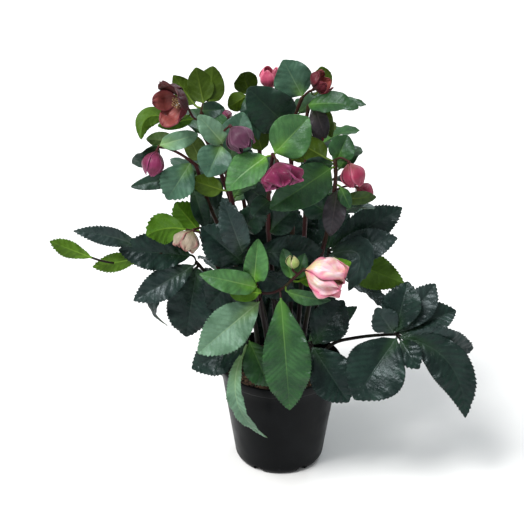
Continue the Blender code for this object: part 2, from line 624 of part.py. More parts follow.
class Thicket:
    """Remembers the surfaces that have been placed, so that the next blade is bent clear of them."""

    def __init__(self):
        """Starts with nothing placed."""
        self.placed = []

    def add(self, node, points, faces):
        """Remembers one surface of a node."""
        tree = BVHTree.FromPolygons(points, faces)
        self.placed.append((node, low_corner(points), high_corner(points), tree))

    def near(self, points, reach):
        """What has been placed close to some points."""
        low = low_corner(points) - Vector((reach, reach, reach))
        high = high_corner(points) + Vector((reach, reach, reach))
        return [row for row in self.placed
                if all(row[1][i] < high[i] and low[i] < row[2][i] for i in range(3))]

    def crossings(self, node, blade, near):
        """How many faces of a blade, made fat by the clearance, cross what is near."""
        count = 0
        whole = BVHTree.FromPolygons(*fattened(*blade.sheet(wider=CLEARANCE)))
        outer = BVHTree.FromPolygons(*fattened(*blade.sheet(wider=CLEARANCE, from_t=0.3)))
        for other, _, _, tree in near:
            mine = outer if other == node else whole
            count += len(mine.overlap(tree))
        return count


def low_corner(points):
    """The least x, y and z of some points."""
    return Vector([min(p[i] for p in points) for i in range(3)])


def high_corner(points):
    """The greatest x, y and z of some points."""
    return Vector([max(p[i] for p in points) for i in range(3)])


def fattened(points, faces):
    """A surface with a copy of it on either side, one blade and one clearance away."""
    normals = [Vector() for _ in points]
    for a, b, c in faces:
        normal = (points[b] - points[a]).cross(points[c] - points[a])
        for index in (a, b, c):
            normals[index] += normal
    offset = BLADE_THICK + CLEARANCE
    shifts = [normal.normalized() * offset for normal in normals]
    count = len(points)
    layers = list(points) + [p + s for p, s in zip(points, shifts)] + [p - s for p, s in zip(points, shifts)]
    stacked = [tuple(index + count * layer for index in face) for layer in range(3) for face in faces]
    return layers, stacked


def bends():
    """Ways to bend a blade clear, the smallest first: tip shift, base shift, roll and arch."""
    rows = []
    for tip in (0, 6, -6, 12, -12, 20, -20, 30, -30, 42):
        for base in (0, 4, -4, 9):
            for roll in (0, 14, -14, 30, -30):
                for arch in (0.0, 0.07, -0.07, 0.15, -0.15):
                    effort = abs(tip) / 8 + abs(base) / 4 + abs(roll) / 16 + abs(arch) / 0.08
                    rows.append((effort, tip / 1000, base / 1000, roll, arch))
    rows.sort(key=lambda row: row[0])
    return rows


def bend_clear(plant, blade, thicket, ways):
    """Bends a blade until it crosses nothing, and takes the least crossing bend if none is clear."""
    base, tip, roll, arch, via = blade.base, blade.tip, blade.roll, blade.arch, blade.via
    sight = (EYE - tip).normalized() if blade.sighted else blade.facing
    reach = 0.05
    blade.root = plant.root_of(blade)
    near = thicket.near(blade.sheet()[0], reach)
    best = None
    for _, tip_shift, base_shift, roll_shift, arch_shift in ways:
        blade.tip = tip + sight * tip_shift
        blade.base = base + sight * base_shift
        blade.via = via + sight * (tip_shift + base_shift) / 2 if via is not None else None
        blade.roll = roll + roll_shift
        blade.arch = arch + arch_shift
        blade.root = plant.root_of(blade)
        count = thicket.crossings(plant.name, blade, near)
        if best is None or count < best[0]:
            best = (count, blade.tip, blade.base, blade.via, blade.roll, blade.arch, blade.root)
        if count == 0:
            break
    _, blade.tip, blade.base, blade.via, blade.roll, blade.arch, blade.root = best
    return best[0]


def new_collection(name):
    """A new collection in the scene."""
    collection = bpy.data.collections.new(name)
    bpy.context.scene.collection.children.link(collection)
    return collection


def new_object(name, mesh, collection):
    """A new object that holds a mesh."""
    made = bpy.data.objects.new(name, mesh)
    collection.objects.link(made)
    return made


def plain_mesh(name, points, faces):
    """A mesh from points and faces, with every face on the same side."""
    mesh = bpy.data.meshes.new(name)
    mesh.from_pydata([tuple(p) for p in points], [], faces)
    work = bmesh.new()
    work.from_mesh(mesh)
    bmesh.ops.recalc_face_normals(work, faces=work.faces)
    work.to_mesh(mesh)
    work.free()
    return mesh


def evaluated_mesh(source):
    """The mesh of an object with its modifiers applied."""
    bpy.context.view_layer.update()
    depsgraph = bpy.context.evaluated_depsgraph_get()
    return bpy.data.meshes.new_from_object(source.evaluated_get(depsgraph))


def tube_object(name, tube, collection):
    """A tube as a bevelled curve made into a closed mesh."""
    curve = bpy.data.curves.new(name, "CURVE")
    curve.dimensions = "3D"
    curve.bevel_depth = 1.0
    curve.bevel_resolution = TUBE_BEVEL
    curve.use_fill_caps = True
    spline = curve.splines.new("POLY")
    spline.points.add(len(tube.route) - 1)
    for i, spot in enumerate(tube.route):
        spline.points[i].co = (*spot, 1.0)
        spline.points[i].radius = tube.radius(i / (len(tube.route) - 1))
    carrier = new_object(name, curve, collection)
    mesh = evaluated_mesh(carrier)
    work = bmesh.new()
    work.from_mesh(mesh)
    bmesh.ops.remove_doubles(work, verts=work.verts, dist=0.00001)
    bmesh.ops.recalc_face_normals(work, faces=work.faces)
    work.to_mesh(mesh)
    work.free()
    bpy.data.objects.remove(carrier)
    return new_object(name, mesh, collection)


def shell_object(name, points, faces, collection):
    """A thin solid blade or petal: an open surface with Solidify."""
    made = new_object(name, plain_mesh(name, points, faces), collection)
    shell = made.modifiers.new("thickness", "SOLIDIFY")
    shell.thickness = BLADE_THICK
    shell.offset = 0.0
    return made


def apply_modifiers(target):
    """Puts the modified mesh in place of an object's own mesh."""
    mesh = evaluated_mesh(target)
    target.modifiers.clear()
    target.data = mesh


def keep_outer_body(target):
    """Keeps the largest closed surface: a sealed hollow is filled and a loose scrap is dropped."""
    work = bmesh.new()
    work.from_mesh(target.data)
    unseen_faces = set(work.faces)
    bodies = []
    while unseen_faces:
        body = []
        front = [unseen_faces.pop()]
        while front:
            face = front.pop()
            body.append(face)
            for edge in face.edges:
                for other in edge.link_faces:
                    if other in unseen_faces:
                        unseen_faces.remove(other)
                        front.append(other)
        bodies.append(body)
    bodies.sort(key=len)
    spare = [face for body in bodies[:-1] for face in body]
    bmesh.ops.delete(work, geom=spare, context="FACES")
    work.to_mesh(target.data)
    work.free()


def clean_seams(target):
    """Merges the slivers along a union's seams, as coarsely as leaves every edge with its two faces."""
    for reach in SEAM_MERGES:
        work = bmesh.new()
        work.from_mesh(target.data)
        bmesh.ops.triangulate(work, faces=work.faces)
        bmesh.ops.dissolve_degenerate(work, dist=reach, edges=work.edges)
        closed = all(edge.is_manifold for edge in work.edges)
        if closed:
            work.to_mesh(target.data)
        work.free()
        if closed:
            return


def fuse(target, collection):
    """Joins everything in a collection to the target by one Boolean union.

    The Manifold solver is used because the exact one left open edges where thin blades meet at a low angle.
    """
    union = target.modifiers.new("union", "BOOLEAN")
    union.operation = "UNION"
    union.operand_type = "COLLECTION"
    union.collection = collection
    union.solver = "MANIFOLD"
    apply_modifiers(target)
    for member in list(collection.objects):
        bpy.data.objects.remove(member)
    keep_outer_body(target)


def dress(target, name, colour, roughness, smooth=False):
    """Gives a piece its own material."""
    material = bpy.data.materials.new(name)
    material.use_nodes = True
    shader = material.node_tree.nodes["Principled BSDF"]
    shader.inputs["Base Color"].default_value = (*colour, 1.0)
    shader.inputs["Roughness"].default_value = roughness
    shader.inputs["Metallic"].default_value = 0.0
    target.data.materials.clear()
    target.data.materials.append(material)
    if smooth:
        target.data.shade_smooth()
        target.data.set_sharp_from_angle(angle=math.radians(30))


def turned_solid(name, outline, collection):
    """A round solid: an outline at +X turned round Z by a Screw modifier."""
    points = [Vector((radius, 0, height)) for radius, height in outline]
    mesh = bpy.data.meshes.new(name)
    mesh.from_pydata([tuple(p) for p in points], [(i, i + 1) for i in range(len(points) - 1)], [])
    made = new_object(name, mesh, collection)
    screw = made.modifiers.new("turn", "SCREW")
    screw.axis = "Z"
    screw.steps = POT_SIDES
    screw.render_steps = POT_SIDES
    screw.use_merge_vertices = True
    screw.merge_threshold = 0.00001
    screw.use_normal_calculate = True
    apply_modifiers(made)
    work = bmesh.new()
    work.from_mesh(made.data)
    bmesh.ops.remove_doubles(work, verts=work.verts, dist=0.00001)
    bmesh.ops.recalc_face_normals(work, faces=work.faces)
    work.to_mesh(made.data)
    work.free()
    return made


def wall_radius(height):
    """The pot wall's outer radius at a height, between its base and its rim band."""
    top = POT_RIM_RADIUS - POT_BAND_STEP
    return POT_BASE_RADIUS + (top - POT_BASE_RADIUS) * height / POT_HEIGHT


def cut(target, cutters):
    """Cuts everything in a collection out of the target, and removes the cutters."""
    difference = target.modifiers.new("cut", "BOOLEAN")
    difference.operation = "DIFFERENCE"
    difference.operand_type = "COLLECTION"
    difference.collection = cutters
    difference.solver = "EXACT"
    apply_modifiers(target)
    for cutter in list(cutters.objects):
        bpy.data.objects.remove(cutter)


def hide_cutter(cutter):
    """Marks an object as a cutter only."""
    cutter.hide_render = True
    cutter.display_type = "WIRE"


def make_pot(collection, cutters):
    """The pot: a thin turned shell with a rim band, a rounded foot and drainage notches round it."""
    band_foot = POT_HEIGHT - POT_BAND_HEIGHT
    outline = [
        (0.0, POT_FLOOR),
        (wall_radius(FOOT_RISE) - POT_WALL - FOOT_ROUND, POT_FLOOR),
        (wall_radius(FOOT_RISE) - POT_WALL, FOOT_RISE),
        (wall_radius(band_foot) - POT_WALL, band_foot),
        (POT_RIM_RADIUS - POT_WALL * 1.3, POT_HEIGHT - 0.0012),
        (POT_RIM_RADIUS - POT_WALL * 0.9, POT_HEIGHT),
        (POT_RIM_RADIUS - 0.0003, POT_HEIGHT - 0.0002),
        (POT_RIM_RADIUS, POT_HEIGHT - 0.0014),
        (wall_radius(band_foot) + POT_BAND_STEP, band_foot),
        (wall_radius(band_foot), band_foot - 0.0016),
        (wall_radius(FOOT_RISE), FOOT_RISE),
        (wall_radius(FOOT_RISE) - 0.0026, 0.0030),
        (wall_radius(FOOT_RISE) - 0.0070, 0.0),
        (0.0, 0.0),
    ]
    pot = turned_solid("pot", outline, collection)
    for i in range(NOTCH_COUNT):
        yaw = NOTCH_START + 2 * math.pi * i / NOTCH_COUNT
        bpy.ops.mesh.primitive_cube_add(size=1.0)
        box = bpy.context.object
        box.name = "notch_cutter"
        box.scale = (0.012, NOTCH_WIDTH, 2 * NOTCH_HEIGHT)
        box.rotation_euler = (0, 0, yaw)
        box.location = (wall_radius(0.0) * math.cos(yaw), wall_radius(0.0) * math.sin(yaw), 0)
        hide_cutter(box)
        for owner in list(box.users_collection):
            owner.objects.unlink(box)
        cutters.objects.link(box)
    cut(pot, cutters)
    return pot


def make_soil(plants, collection, cutters):
    """The soil: it fills the pot to just below the rim, with a plain hole for each stem and stalk."""
    floor = POT_FLOOR + GAP
    shrink = POT_WALL + GAP / math.cos(math.pi / POT_SIDES)
    outline = [
        (0.0, SOIL_TOP),
        (0.030, SOIL_TOP + 0.001),
        (0.054, SOIL_TOP - 0.001),
        (wall_radius(SOIL_TOP - 0.003) - shrink, SOIL_TOP - 0.003),
        (wall_radius(FOOT_RISE) - shrink, FOOT_RISE),
        (wall_radius(FOOT_RISE) - POT_WALL - FOOT_ROUND - GAP, floor),
        (0.0, floor),
    ]
    soil = turned_solid("soil", outline, collection)
    for vertex in soil.data.vertices:
        place = vertex.co
        inner = math.hypot(place.x, place.y) < 0.060
        if inner and place.z > SOIL_TOP - 0.004:
            place.z += SOIL_LUMP * noise.noise(place * 90)
    for plant in plants:
        tube = plant.tubes[0]
        bottom = tube.route[0]
        depth = STEM_DEPTH + 0.012
        radius = (tube.foot + 2 * GAP) / math.cos(math.pi / HOLE_SIDES)
        mesh = bpy.data.meshes.new("hole_cutter")
        work = bmesh.new()
        bmesh.ops.create_cone(work, cap_ends=True, segments=HOLE_SIDES, radius1=radius, radius2=radius, depth=depth)
        work.to_mesh(mesh)
        work.free()
        cutter = new_object("hole_cutter", mesh, cutters)
        cutter.location = bottom + Vector((0, 0, depth / 2 - 2 * GAP))
        hide_cutter(cutter)
    cut(soil, cutters)
    return soil


def fuse_plant(plant, collection, joining):
    """One node from a plant's tubes and blades."""
    for i, tube in enumerate(plant.tubes[1:]):
        tube_object("twig_" + str(i), tube, joining)
    for i, blade in enumerate(plant.blades):
        shell_object("blade_" + str(i), *blade.sheet(), joining)
    node = tube_object(plant.name, plant.tubes[0], collection)
    fuse(node, joining)
    dress(node, plant.name, plant.colour, 0.45, smooth=True)
    return node


def fuse_bloom(name, bloom, collection, joining):
    """One node from a bloom's petals, which meet in its foot."""
    for i in range(1, bloom.petals):
        shell_object("petal_" + str(i), *bloom.petal_sheet(i), joining)
    node = shell_object(name, *bloom.petal_sheet(0), collection)
    apply_modifiers(node)
    fuse(node, joining)
    clean_seams(node)
    dress(node, name, BLOOM_COLOURS.get(name, BURGUNDY), 0.5, smooth=True)
    return node


def mesh_facts(made):
    """An object's points and faces."""
    return [v.co.copy() for v in made.data.vertices], [tuple(p.vertices) for p in made.data.polygons]


def main():
    """Builds the whole object."""
    for old in list(bpy.data.objects):
        bpy.data.objects.remove(old)
    collection = new_collection(COLLECTION)
    cutters = new_collection("cutters")
    joining = new_collection("joining")

    blooms = blooms_and_buds()
    plants = flowering_stems(blooms) + basal_leaves()
    pot = make_pot(collection, cutters)
    soil = make_soil(plants, collection, cutters)
    dress(pot, "pot", (0.012, 0.012, 0.013), 0.5, smooth=True)
    dress(soil, "soil", (0.035, 0.024, 0.016), 0.95)

    thicket = Thicket()
    thicket.add("pot", *mesh_facts(pot))
    for plant in plants:
        for tube in plant.tubes:
            probe = tube_object("probe", tube, joining)
            thicket.add(plant.name, *mesh_facts(probe))
            bpy.data.objects.remove(probe)
    for name, bloom in blooms.items():
        for petal in range(bloom.petals):
            thicket.add(name, *bloom.petal_sheet(petal))
    ways = bends()
    pairs = [(plant, blade) for plant in plants for blade in plant.blades]
    pairs.sort(key=lambda pair: not pair[1].sighted)
    for plant, blade in pairs:
        bend_clear(plant, blade, thicket, ways)
        thicket.add(plant.name, *blade.sheet())

    for plant in plants:
        fuse_plant(plant, collection, joining)
    for name, bloom in blooms.items():
        fuse_bloom(name, bloom, collection, joining)
    for spare in (cutters, joining):
        bpy.data.collections.remove(spare)


main()
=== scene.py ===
"""Looks of a potted hellebore: leafy stems, saw-edged leaves, blooms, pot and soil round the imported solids.

Metres, +Z up, the same frame as the solids. Every leaf, stem and bloom grows from the same named values as
its solid and is bent clear of its neighbours by the same rule, then made fine: veins, teeth, waves, petals.
"""

import logging
import math
from dataclasses import dataclass, field
from enum import Enum
from itertools import product
from typing import Iterable, Optional

import bmesh
import bpy
from mathutils import Matrix, Vector, noise
from mathutils.bvhtree import BVHTree


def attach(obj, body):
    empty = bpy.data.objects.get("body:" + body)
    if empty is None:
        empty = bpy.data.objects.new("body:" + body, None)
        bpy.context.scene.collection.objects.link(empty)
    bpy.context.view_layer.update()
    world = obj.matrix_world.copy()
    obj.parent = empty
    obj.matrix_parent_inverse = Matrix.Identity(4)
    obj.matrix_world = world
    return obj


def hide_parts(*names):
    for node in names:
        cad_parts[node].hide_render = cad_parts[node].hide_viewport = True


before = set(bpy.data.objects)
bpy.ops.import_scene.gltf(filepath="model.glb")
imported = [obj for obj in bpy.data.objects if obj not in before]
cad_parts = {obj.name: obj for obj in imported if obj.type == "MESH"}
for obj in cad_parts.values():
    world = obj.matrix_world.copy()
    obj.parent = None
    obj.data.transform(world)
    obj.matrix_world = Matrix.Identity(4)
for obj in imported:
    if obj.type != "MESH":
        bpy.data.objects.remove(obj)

LOG = logging.getLogger("hellebore")
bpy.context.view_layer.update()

Colour = tuple[float, float, float]
Spot = tuple[float, float, float]
Faces = list[tuple[int, ...]]
Bend = tuple[float, float, float, float, float]
Surface = tuple[str, Vector, Vector, BVHTree]

# The leaves' dust, their cool gloss and the slant of their side veins; radians from one stamen to the next
LEAF_DUST = (0.20, 0.22, 0.22)
WAX_TINT = (0.82, 0.94, 1.0)
VEIN_SLANT = 0.85
GOLDEN_TURN = 2.39996

# The photograph's eye and its 524 x 524 frame
FRAME_SIDE = 524
FRAME_MIDDLE = FRAME_SIDE / 2
EYE = Vector((-0.0216, -1.263, 0.858))
EYE_TILT = math.radians(25.3)
EYE_REACH = 1200.0
SENSOR = 36.0

# Blades, as in the solids
SOIL_TOP = 0.117
STEM_DEPTH = 0.018
BLADE_THICK = 0.0008
NECK_WIDTH = 0.0026
NECK_REACH = 0.0065
CLEARANCE = 0.0010
TOOTH_DEPTH = 0.06
TOOTH_STEP = 0.021
SMALL_BLADE = 0.024
LARGE_BLADE = 0.045
SHORT_RIB = (0.0, 0.50, 1.0)
LONG_RIB = (0.0, 0.34, 0.70, 1.0)
EDGE_STOPS = (
    (SMALL_BLADE, (0.0, 0.22, 0.66, 1.0)),
    (LARGE_BLADE, (0.0, 0.10, 0.38, 0.74, 1.0)),
    (math.inf, (0.0, 0.08, 0.28, 0.56, 0.84, 1.0)),
)
BLOOM_REACH = 0.0018
PETAL_LAYERS = (0, 1, 0, 1, 2)
PETAL_RIB = (0.0, 0.15, 0.55, 1.0)
PETAL_EDGE = (0.20, 0.50, 0.86)

# Ways to bend a blade clear: its tip and its base shifted in millimetres, its roll in degrees, its arch
TIP_SHIFTS = (0, 6, -6, 12, -12, 20, -20, 30, -30, 42)
BASE_SHIFTS = (0, 4, -4, 9)
ROLLS = (0, 14, -14, 30, -30)
ARCHES = (0.0, 0.07, -0.07, 0.15, -0.15)
BEND_REACH = 0.05

# Basal leaves behind: name, crown, elbow, hand's centre, way out, leaflet length and width
BACK_LEAVES = (
    ("leaf_back_left", (-0.034, 0.030), (-0.052, 0.062, 0.170), (-0.074, 0.088, 0.205), (-0.8, 1.0), 0.082,
     0.038),
    ("leaf_back_middle", (0.002, 0.046), (0.004, 0.080, 0.180), (0.004, 0.112, 0.212), (0.05, 1.0), 0.084,
     0.038),
    ("leaf_back_right", (0.036, 0.028), (0.056, 0.058, 0.165), (0.080, 0.082, 0.200), (0.9, 0.9), 0.080,
     0.038),
)


class Tone(Enum):
    """The leaf tones that the plant shows."""

    SAGE = "sage"
    MINT = "mint"
    GREEN = "green"
    DARK = "dark"
    OLIVE = "olive"
    LIME = "lime"
    PLUM = "plum"
    BASAL = "basal"
    SLATE = "slate"
    SPRING = "spring"


class Face(Enum):
    """The two faces of a leaf."""

    TOP = "top"
    UNDER = "under"


def dimmed(colour: Colour, share: float) -> Colour:
    """A colour with each of its parts multiplied by a share."""
    return tuple(share * part for part in colour)


class NodeSheet:
    """A material's node tree with short calls for the nodes that the finishes share."""

    def __init__(self, name: str) -> None:
        """Starts a material with a Principled shader.

        Args:
            name: The material's name.
        """
        self.material = bpy.data.materials.new(name)
        self.material.use_nodes = True
        self.tree = self.material.node_tree
        self.shader = self.tree.nodes["Principled BSDF"]
        self.shader.inputs["Metallic"].default_value = 0.0

    def add(self, kind: str, **settings: object) -> bpy.types.Node:
        """Adds a node.

        Args:
            kind: Blender's node type.
            **settings: Properties of the node.

        Returns:
            The new node.
        """
        node = self.tree.nodes.new(kind)
        for key, value in settings.items():
            setattr(node, key, value)
        return node

    def feed(self, socket: bpy.types.NodeSocket, value: object) -> None:
        """Links an output into a socket, or sets a plain value on it."""
        if isinstance(value, bpy.types.NodeSocket):
            self.tree.links.new(value, socket)
        elif isinstance(value, tuple) and len(value) == 3 and socket.type == "RGBA":
            socket.default_value = (*value, 1.0)
        else:
            socket.default_value = value

    def maths(self, operation: str, first: object, second: object = 0.0,
              third: object = 0.0) -> bpy.types.NodeSocket:
        """Adds a Math node.

        Args:
            operation: The operation's name.
            first: First value or output.
            second: Second value or output.
            third: Third value or output.

        Returns:
            The result's socket.
        """
        node = self.add("ShaderNodeMath", operation=operation)
        for socket, value in zip(node.inputs, (first, second, third)):
            self.feed(socket, value)
        return node.outputs[0]

    def times(self, first: object, second: object) -> bpy.types.NodeSocket:
        """The product of two values or outputs."""
        return self.maths("MULTIPLY", first, second)

    def step(self, value: object, low: float, high: float, out_low: float = 0.0,
             out_high: float = 1.0) -> bpy.types.NodeSocket:
        """Maps a stretch of a value smoothly to another.

        Args:
            value: What is mapped.
            low: Start of the stretch.
            high: End of the stretch.
            out_low: Result at the start.
            out_high: Result at the end.

        Returns:
            The result's socket.
        """
        node = self.add("ShaderNodeMapRange", interpolation_type="SMOOTHSTEP")
        names = ("Value", "From Min", "From Max", "To Min", "To Max")
        for name, each in zip(names, (value, low, high, out_low, out_high)):
            self.feed(node.inputs[name], each)
        return node.outputs[0]

    def mix(self, share: object, first: object, second: object, way: str = "MIX") -> bpy.types.NodeSocket:
        """Mixes two colours.

        Args:
            share: How much of the second shows.
            first: First colour.
            second: Second colour.
            way: Blend type.

        Returns:
            The mixed colour's socket.
        """
        node = self.add("ShaderNodeMix", data_type="RGBA", blend_type=way)
        self.feed(node.inputs["Factor"], share)
        self.feed(node.inputs["A"], first)
        self.feed(node.inputs["B"], second)
        return next(out for out in node.outputs if out.type == "RGBA")

    def tint(self, ground: object, mask: object, strength: float, colour: object) -> bpy.types.NodeSocket:
        """Lays a colour over another where a mask shows it.

        Args:
            ground: The colour beneath.
            mask: Where the other shows, from 0 to 1.
            strength: How much of it shows at most.
            colour: The colour on top.

        Returns:
            The mixed colour's socket.
        """
        return self.mix(self.times(mask, strength), ground, colour)

    def shaded(self, colour: object) -> bpy.types.NodeSocket:
        """The colour, made lighter or darker by the shade that the piece carries on its points."""
        grey = self.add("ShaderNodeCombineColor")
        for socket in grey.inputs:
            self.feed(socket, self.value_of("shade"))
        return self.mix(1.0, colour, grey.outputs[0], "MULTIPLY")

    def grain(self, scale: float, detail: float = 3.0) -> bpy.types.NodeSocket:
        """Adds noise in the object's own space.

        Args:
            scale: Cells a metre.
            detail: Octaves.

        Returns:
            The noise value's socket.
        """
        node = self.add("ShaderNodeTexNoise")
        self.feed(node.inputs["Vector"], self.place())
        node.inputs["Scale"].default_value = scale
        node.inputs["Detail"].default_value = detail
        return node.outputs[0]

    def cells(self, scale: float, feature: str = "F1", place: object = None) -> bpy.types.Node:
        """Adds Voronoi cells.

        Args:
            scale: Cells a metre.
            feature: The Voronoi feature.
            place: The vector, where it isn't the object's own.

        Returns:
            The texture node.
        """
        node = self.add("ShaderNodeTexVoronoi", feature=feature)
        self.feed(node.inputs["Vector"], place or self.place())
        node.inputs["Scale"].default_value = scale
        return node

    def place(self) -> bpy.types.NodeSocket:
        """The point in the object's own space."""
        return self.add("ShaderNodeTexCoord").outputs["Object"]

    def chart(self) -> tuple[bpy.types.NodeSocket, bpy.types.NodeSocket, bpy.types.NodeSocket]:
        """The piece's own chart.

        Returns:
            The chart's vector, the way along and the way across.
        """
        vector = self.add("ShaderNodeUVMap", uv_map="chart").outputs[0]
        split = self.add("ShaderNodeSeparateXYZ")
        self.feed(split.inputs[0], vector)
        return vector, split.outputs[0], split.outputs[1]

    def value_of(self, name: str) -> bpy.types.NodeSocket:
        """A value that the piece carries on its points: its shade, or its mark from base to tip."""
        return self.add("ShaderNodeAttribute", attribute_name=name).outputs["Fac"]

    def bump(self, height: object, strength: float, distance: float) -> None:
        """Raises the surface by a height.

        Args:
            height: The height's socket.
            strength: Bump strength.
            distance: Height of one unit, in metres.
        """
        node = self.add("ShaderNodeBump")
        self.feed(node.inputs["Height"], height)
        node.inputs["Strength"].default_value = strength
        node.inputs["Distance"].default_value = distance
        self.feed(self.shader.inputs["Normal"], node.outputs[0])

    def finish(self, colour: object, roughness: object, specular: float = 0.5) -> bpy.types.Material:
        """Gives the shader its colour and gloss.

        Args:
            colour: Base colour.
            roughness: Roughness.
            specular: Specular level.

        Returns:
            The finished material.
        """
        self.feed(self.shader.inputs["Base Color"], colour)
        self.feed(self.shader.inputs["Roughness"], roughness)
        self.shader.inputs["Specular IOR Level"].default_value = specular
        return self.material


@dataclass(frozen=True)
class LeafFinish:
    """The look of one leaf tone, above and beneath."""

    top: Colour
    deep: Colour
    vein: Colour
    glow: Colour
    under: Colour
    under_vein: Colour
    rough: float = 0.40
    specular: float = 0.27
    vein_gap: float = 0.0068
    specks: float = 0.0

    def made(self, tone: Tone, face: Face) -> bpy.types.Material:
        """Makes the material of one face: fading midrib, side veins, their net, mottling and dust.

        Args:
            tone: The tone that it belongs to.
            face: Which face.

        Returns:
            The material.
        """
        sheet = NodeSheet("leaf_" + tone.value + "_" + face.value)
        chart, along, across = sheet.chart()
        mark = sheet.value_of("mark")
        out = sheet.maths("ABSOLUTE", across)
        wander = sheet.grain(110.0, 2.0)
        slant = sheet.maths("MULTIPLY_ADD", out, -VEIN_SLANT, along)
        drift = sheet.maths("MULTIPLY_ADD", wander, 0.006, slant)
        phase = sheet.maths("FRACT", sheet.maths("DIVIDE", drift, self.vein_gap))
        off = sheet.maths("ABSOLUTE", sheet.maths("SUBTRACT", phase, 0.5))
        side = sheet.times(sheet.step(off, 0.09, 0.0), sheet.step(out, 0.016, 0.001, 0.25, 1.0))
        rib = sheet.times(sheet.step(out, 0.0010, 0.0003), sheet.step(mark, 0.95, 0.10, 0.18, 1.0))
        net = sheet.step(sheet.cells(420.0, "DISTANCE_TO_EDGE", chart).outputs["Distance"], 0.07, 0.01)
        lines = sheet.maths("MAXIMUM", sheet.times(side, 0.30), sheet.times(net, 0.13))
        veins = sheet.maths("MAXIMUM", rib, lines)
        mottle = sheet.step(sheet.grain(48.0, 4.0), 0.30, 0.70)
        quilt = sheet.step(sheet.maths("ADD", off, sheet.times(wander, 0.6)), 0.05, 0.70)
        if face is Face.TOP:
            ground = sheet.mix(sheet.times(mottle, quilt), self.deep, self.top)
            near = sheet.times(sheet.step(mark, 0.52, 0.0), sheet.step(out, 0.011, 0.0))
            ground = sheet.tint(ground, near, 0.75, self.glow)
            colour = sheet.tint(ground, veins, 0.60, self.vein)
        else:
            ground = sheet.mix(mottle, dimmed(self.under, 0.62), self.under)
            colour = sheet.tint(ground, veins, 0.70, self.under_vein)
        colour = sheet.shaded(colour)
        if self.specks > 0 and face is Face.TOP:
            dust = sheet.cells(330.0)
            small = sheet.step(dust.outputs["Distance"], 0.15, 0.09)
            few = sheet.step(sheet.grain(95.0, 1.0), 0.60, 0.72)
            colour = sheet.tint(colour, sheet.times(small, few), self.specks, LEAF_DUST)
        fine = sheet.grain(900.0, 2.0)
        sink = -0.60 if face is Face.TOP else 0.9
        height = sheet.maths("MULTIPLY_ADD", veins, sink, sheet.times(fine, 0.22))
        height = sheet.maths("ADD", sheet.grain(210.0, 3.0), height)
        height = sheet.maths("MULTIPLY_ADD", sheet.grain(64.0, 3.0), 3.2, height)
        sheet.bump(height, 0.62, 0.0008)
        rough = self.rough if face is Face.TOP else self.rough + 0.14
        gloss = sheet.step(sheet.grain(70.0, 3.0), 0.3, 0.7, rough - 0.07, rough + 0.08)
        sheet.feed(sheet.shader.inputs["Specular Tint"], WAX_TINT)
        return sheet.finish(colour, gloss, self.specular if face is Face.TOP else 0.15)


LEAF_FINISHES = {
    Tone.SAGE: LeafFinish((0.066, 0.145, 0.092), (0.022, 0.062, 0.038), (0.16, 0.26, 0.14),
                          (0.110, 0.235, 0.040), (0.100, 0.155, 0.020), (0.19, 0.26, 0.06)),
    Tone.MINT: LeafFinish((0.140, 0.255, 0.165), (0.070, 0.145, 0.085), (0.25, 0.36, 0.20),
                          (0.170, 0.300, 0.080), (0.120, 0.190, 0.040), (0.22, 0.30, 0.09)),
    Tone.GREEN: LeafFinish((0.026, 0.086, 0.024), (0.008, 0.036, 0.010), (0.10, 0.21, 0.05),
                           (0.060, 0.170, 0.020), (0.070, 0.150, 0.010), (0.15, 0.27, 0.03)),
    Tone.DARK: LeafFinish((0.013, 0.044, 0.022), (0.004, 0.016, 0.009), (0.050, 0.100, 0.045),
                          (0.024, 0.070, 0.014), (0.036, 0.066, 0.007), (0.09, 0.13, 0.03)),
    # Olive and lime: the yellow-green of their lower faces is partly the leaves' own paler underside and
    # partly painted light shining through them from behind
    Tone.OLIVE: LeafFinish((0.040, 0.082, 0.010), (0.016, 0.038, 0.005), (0.12, 0.17, 0.03),
                           (0.075, 0.130, 0.012), (0.052, 0.098, 0.004), (0.12, 0.18, 0.02)),
    Tone.LIME: LeafFinish((0.110, 0.270, 0.022), (0.045, 0.140, 0.012), (0.27, 0.42, 0.08),
                          (0.200, 0.380, 0.030), (0.070, 0.180, 0.008), (0.18, 0.32, 0.03)),
    Tone.PLUM: LeafFinish((0.044, 0.034, 0.040), (0.017, 0.013, 0.016), (0.09, 0.07, 0.07),
                          (0.050, 0.060, 0.030), (0.045, 0.026, 0.018), (0.09, 0.06, 0.04)),
    Tone.BASAL: LeafFinish((0.010, 0.026, 0.019), (0.0030, 0.0090, 0.0075), (0.034, 0.058, 0.042),
                           (0.016, 0.045, 0.014), (0.034, 0.095, 0.008), (0.09, 0.18, 0.03), rough=0.32,
                           specular=0.21, vein_gap=0.0085, specks=0.55),
    Tone.SPRING: LeafFinish((0.070, 0.190, 0.055), (0.028, 0.095, 0.026), (0.20, 0.34, 0.10),
                            (0.130, 0.330, 0.020), (0.110, 0.220, 0.015), (0.22, 0.36, 0.05)),
    Tone.SLATE: LeafFinish((0.020, 0.040, 0.034), (0.007, 0.016, 0.0145), (0.060, 0.088, 0.070),
                           (0.024, 0.052, 0.022), (0.045, 0.085, 0.020), (0.11, 0.16, 0.05), rough=0.34,
                           specular=0.30, vein_gap=0.0085, specks=0.70),
}


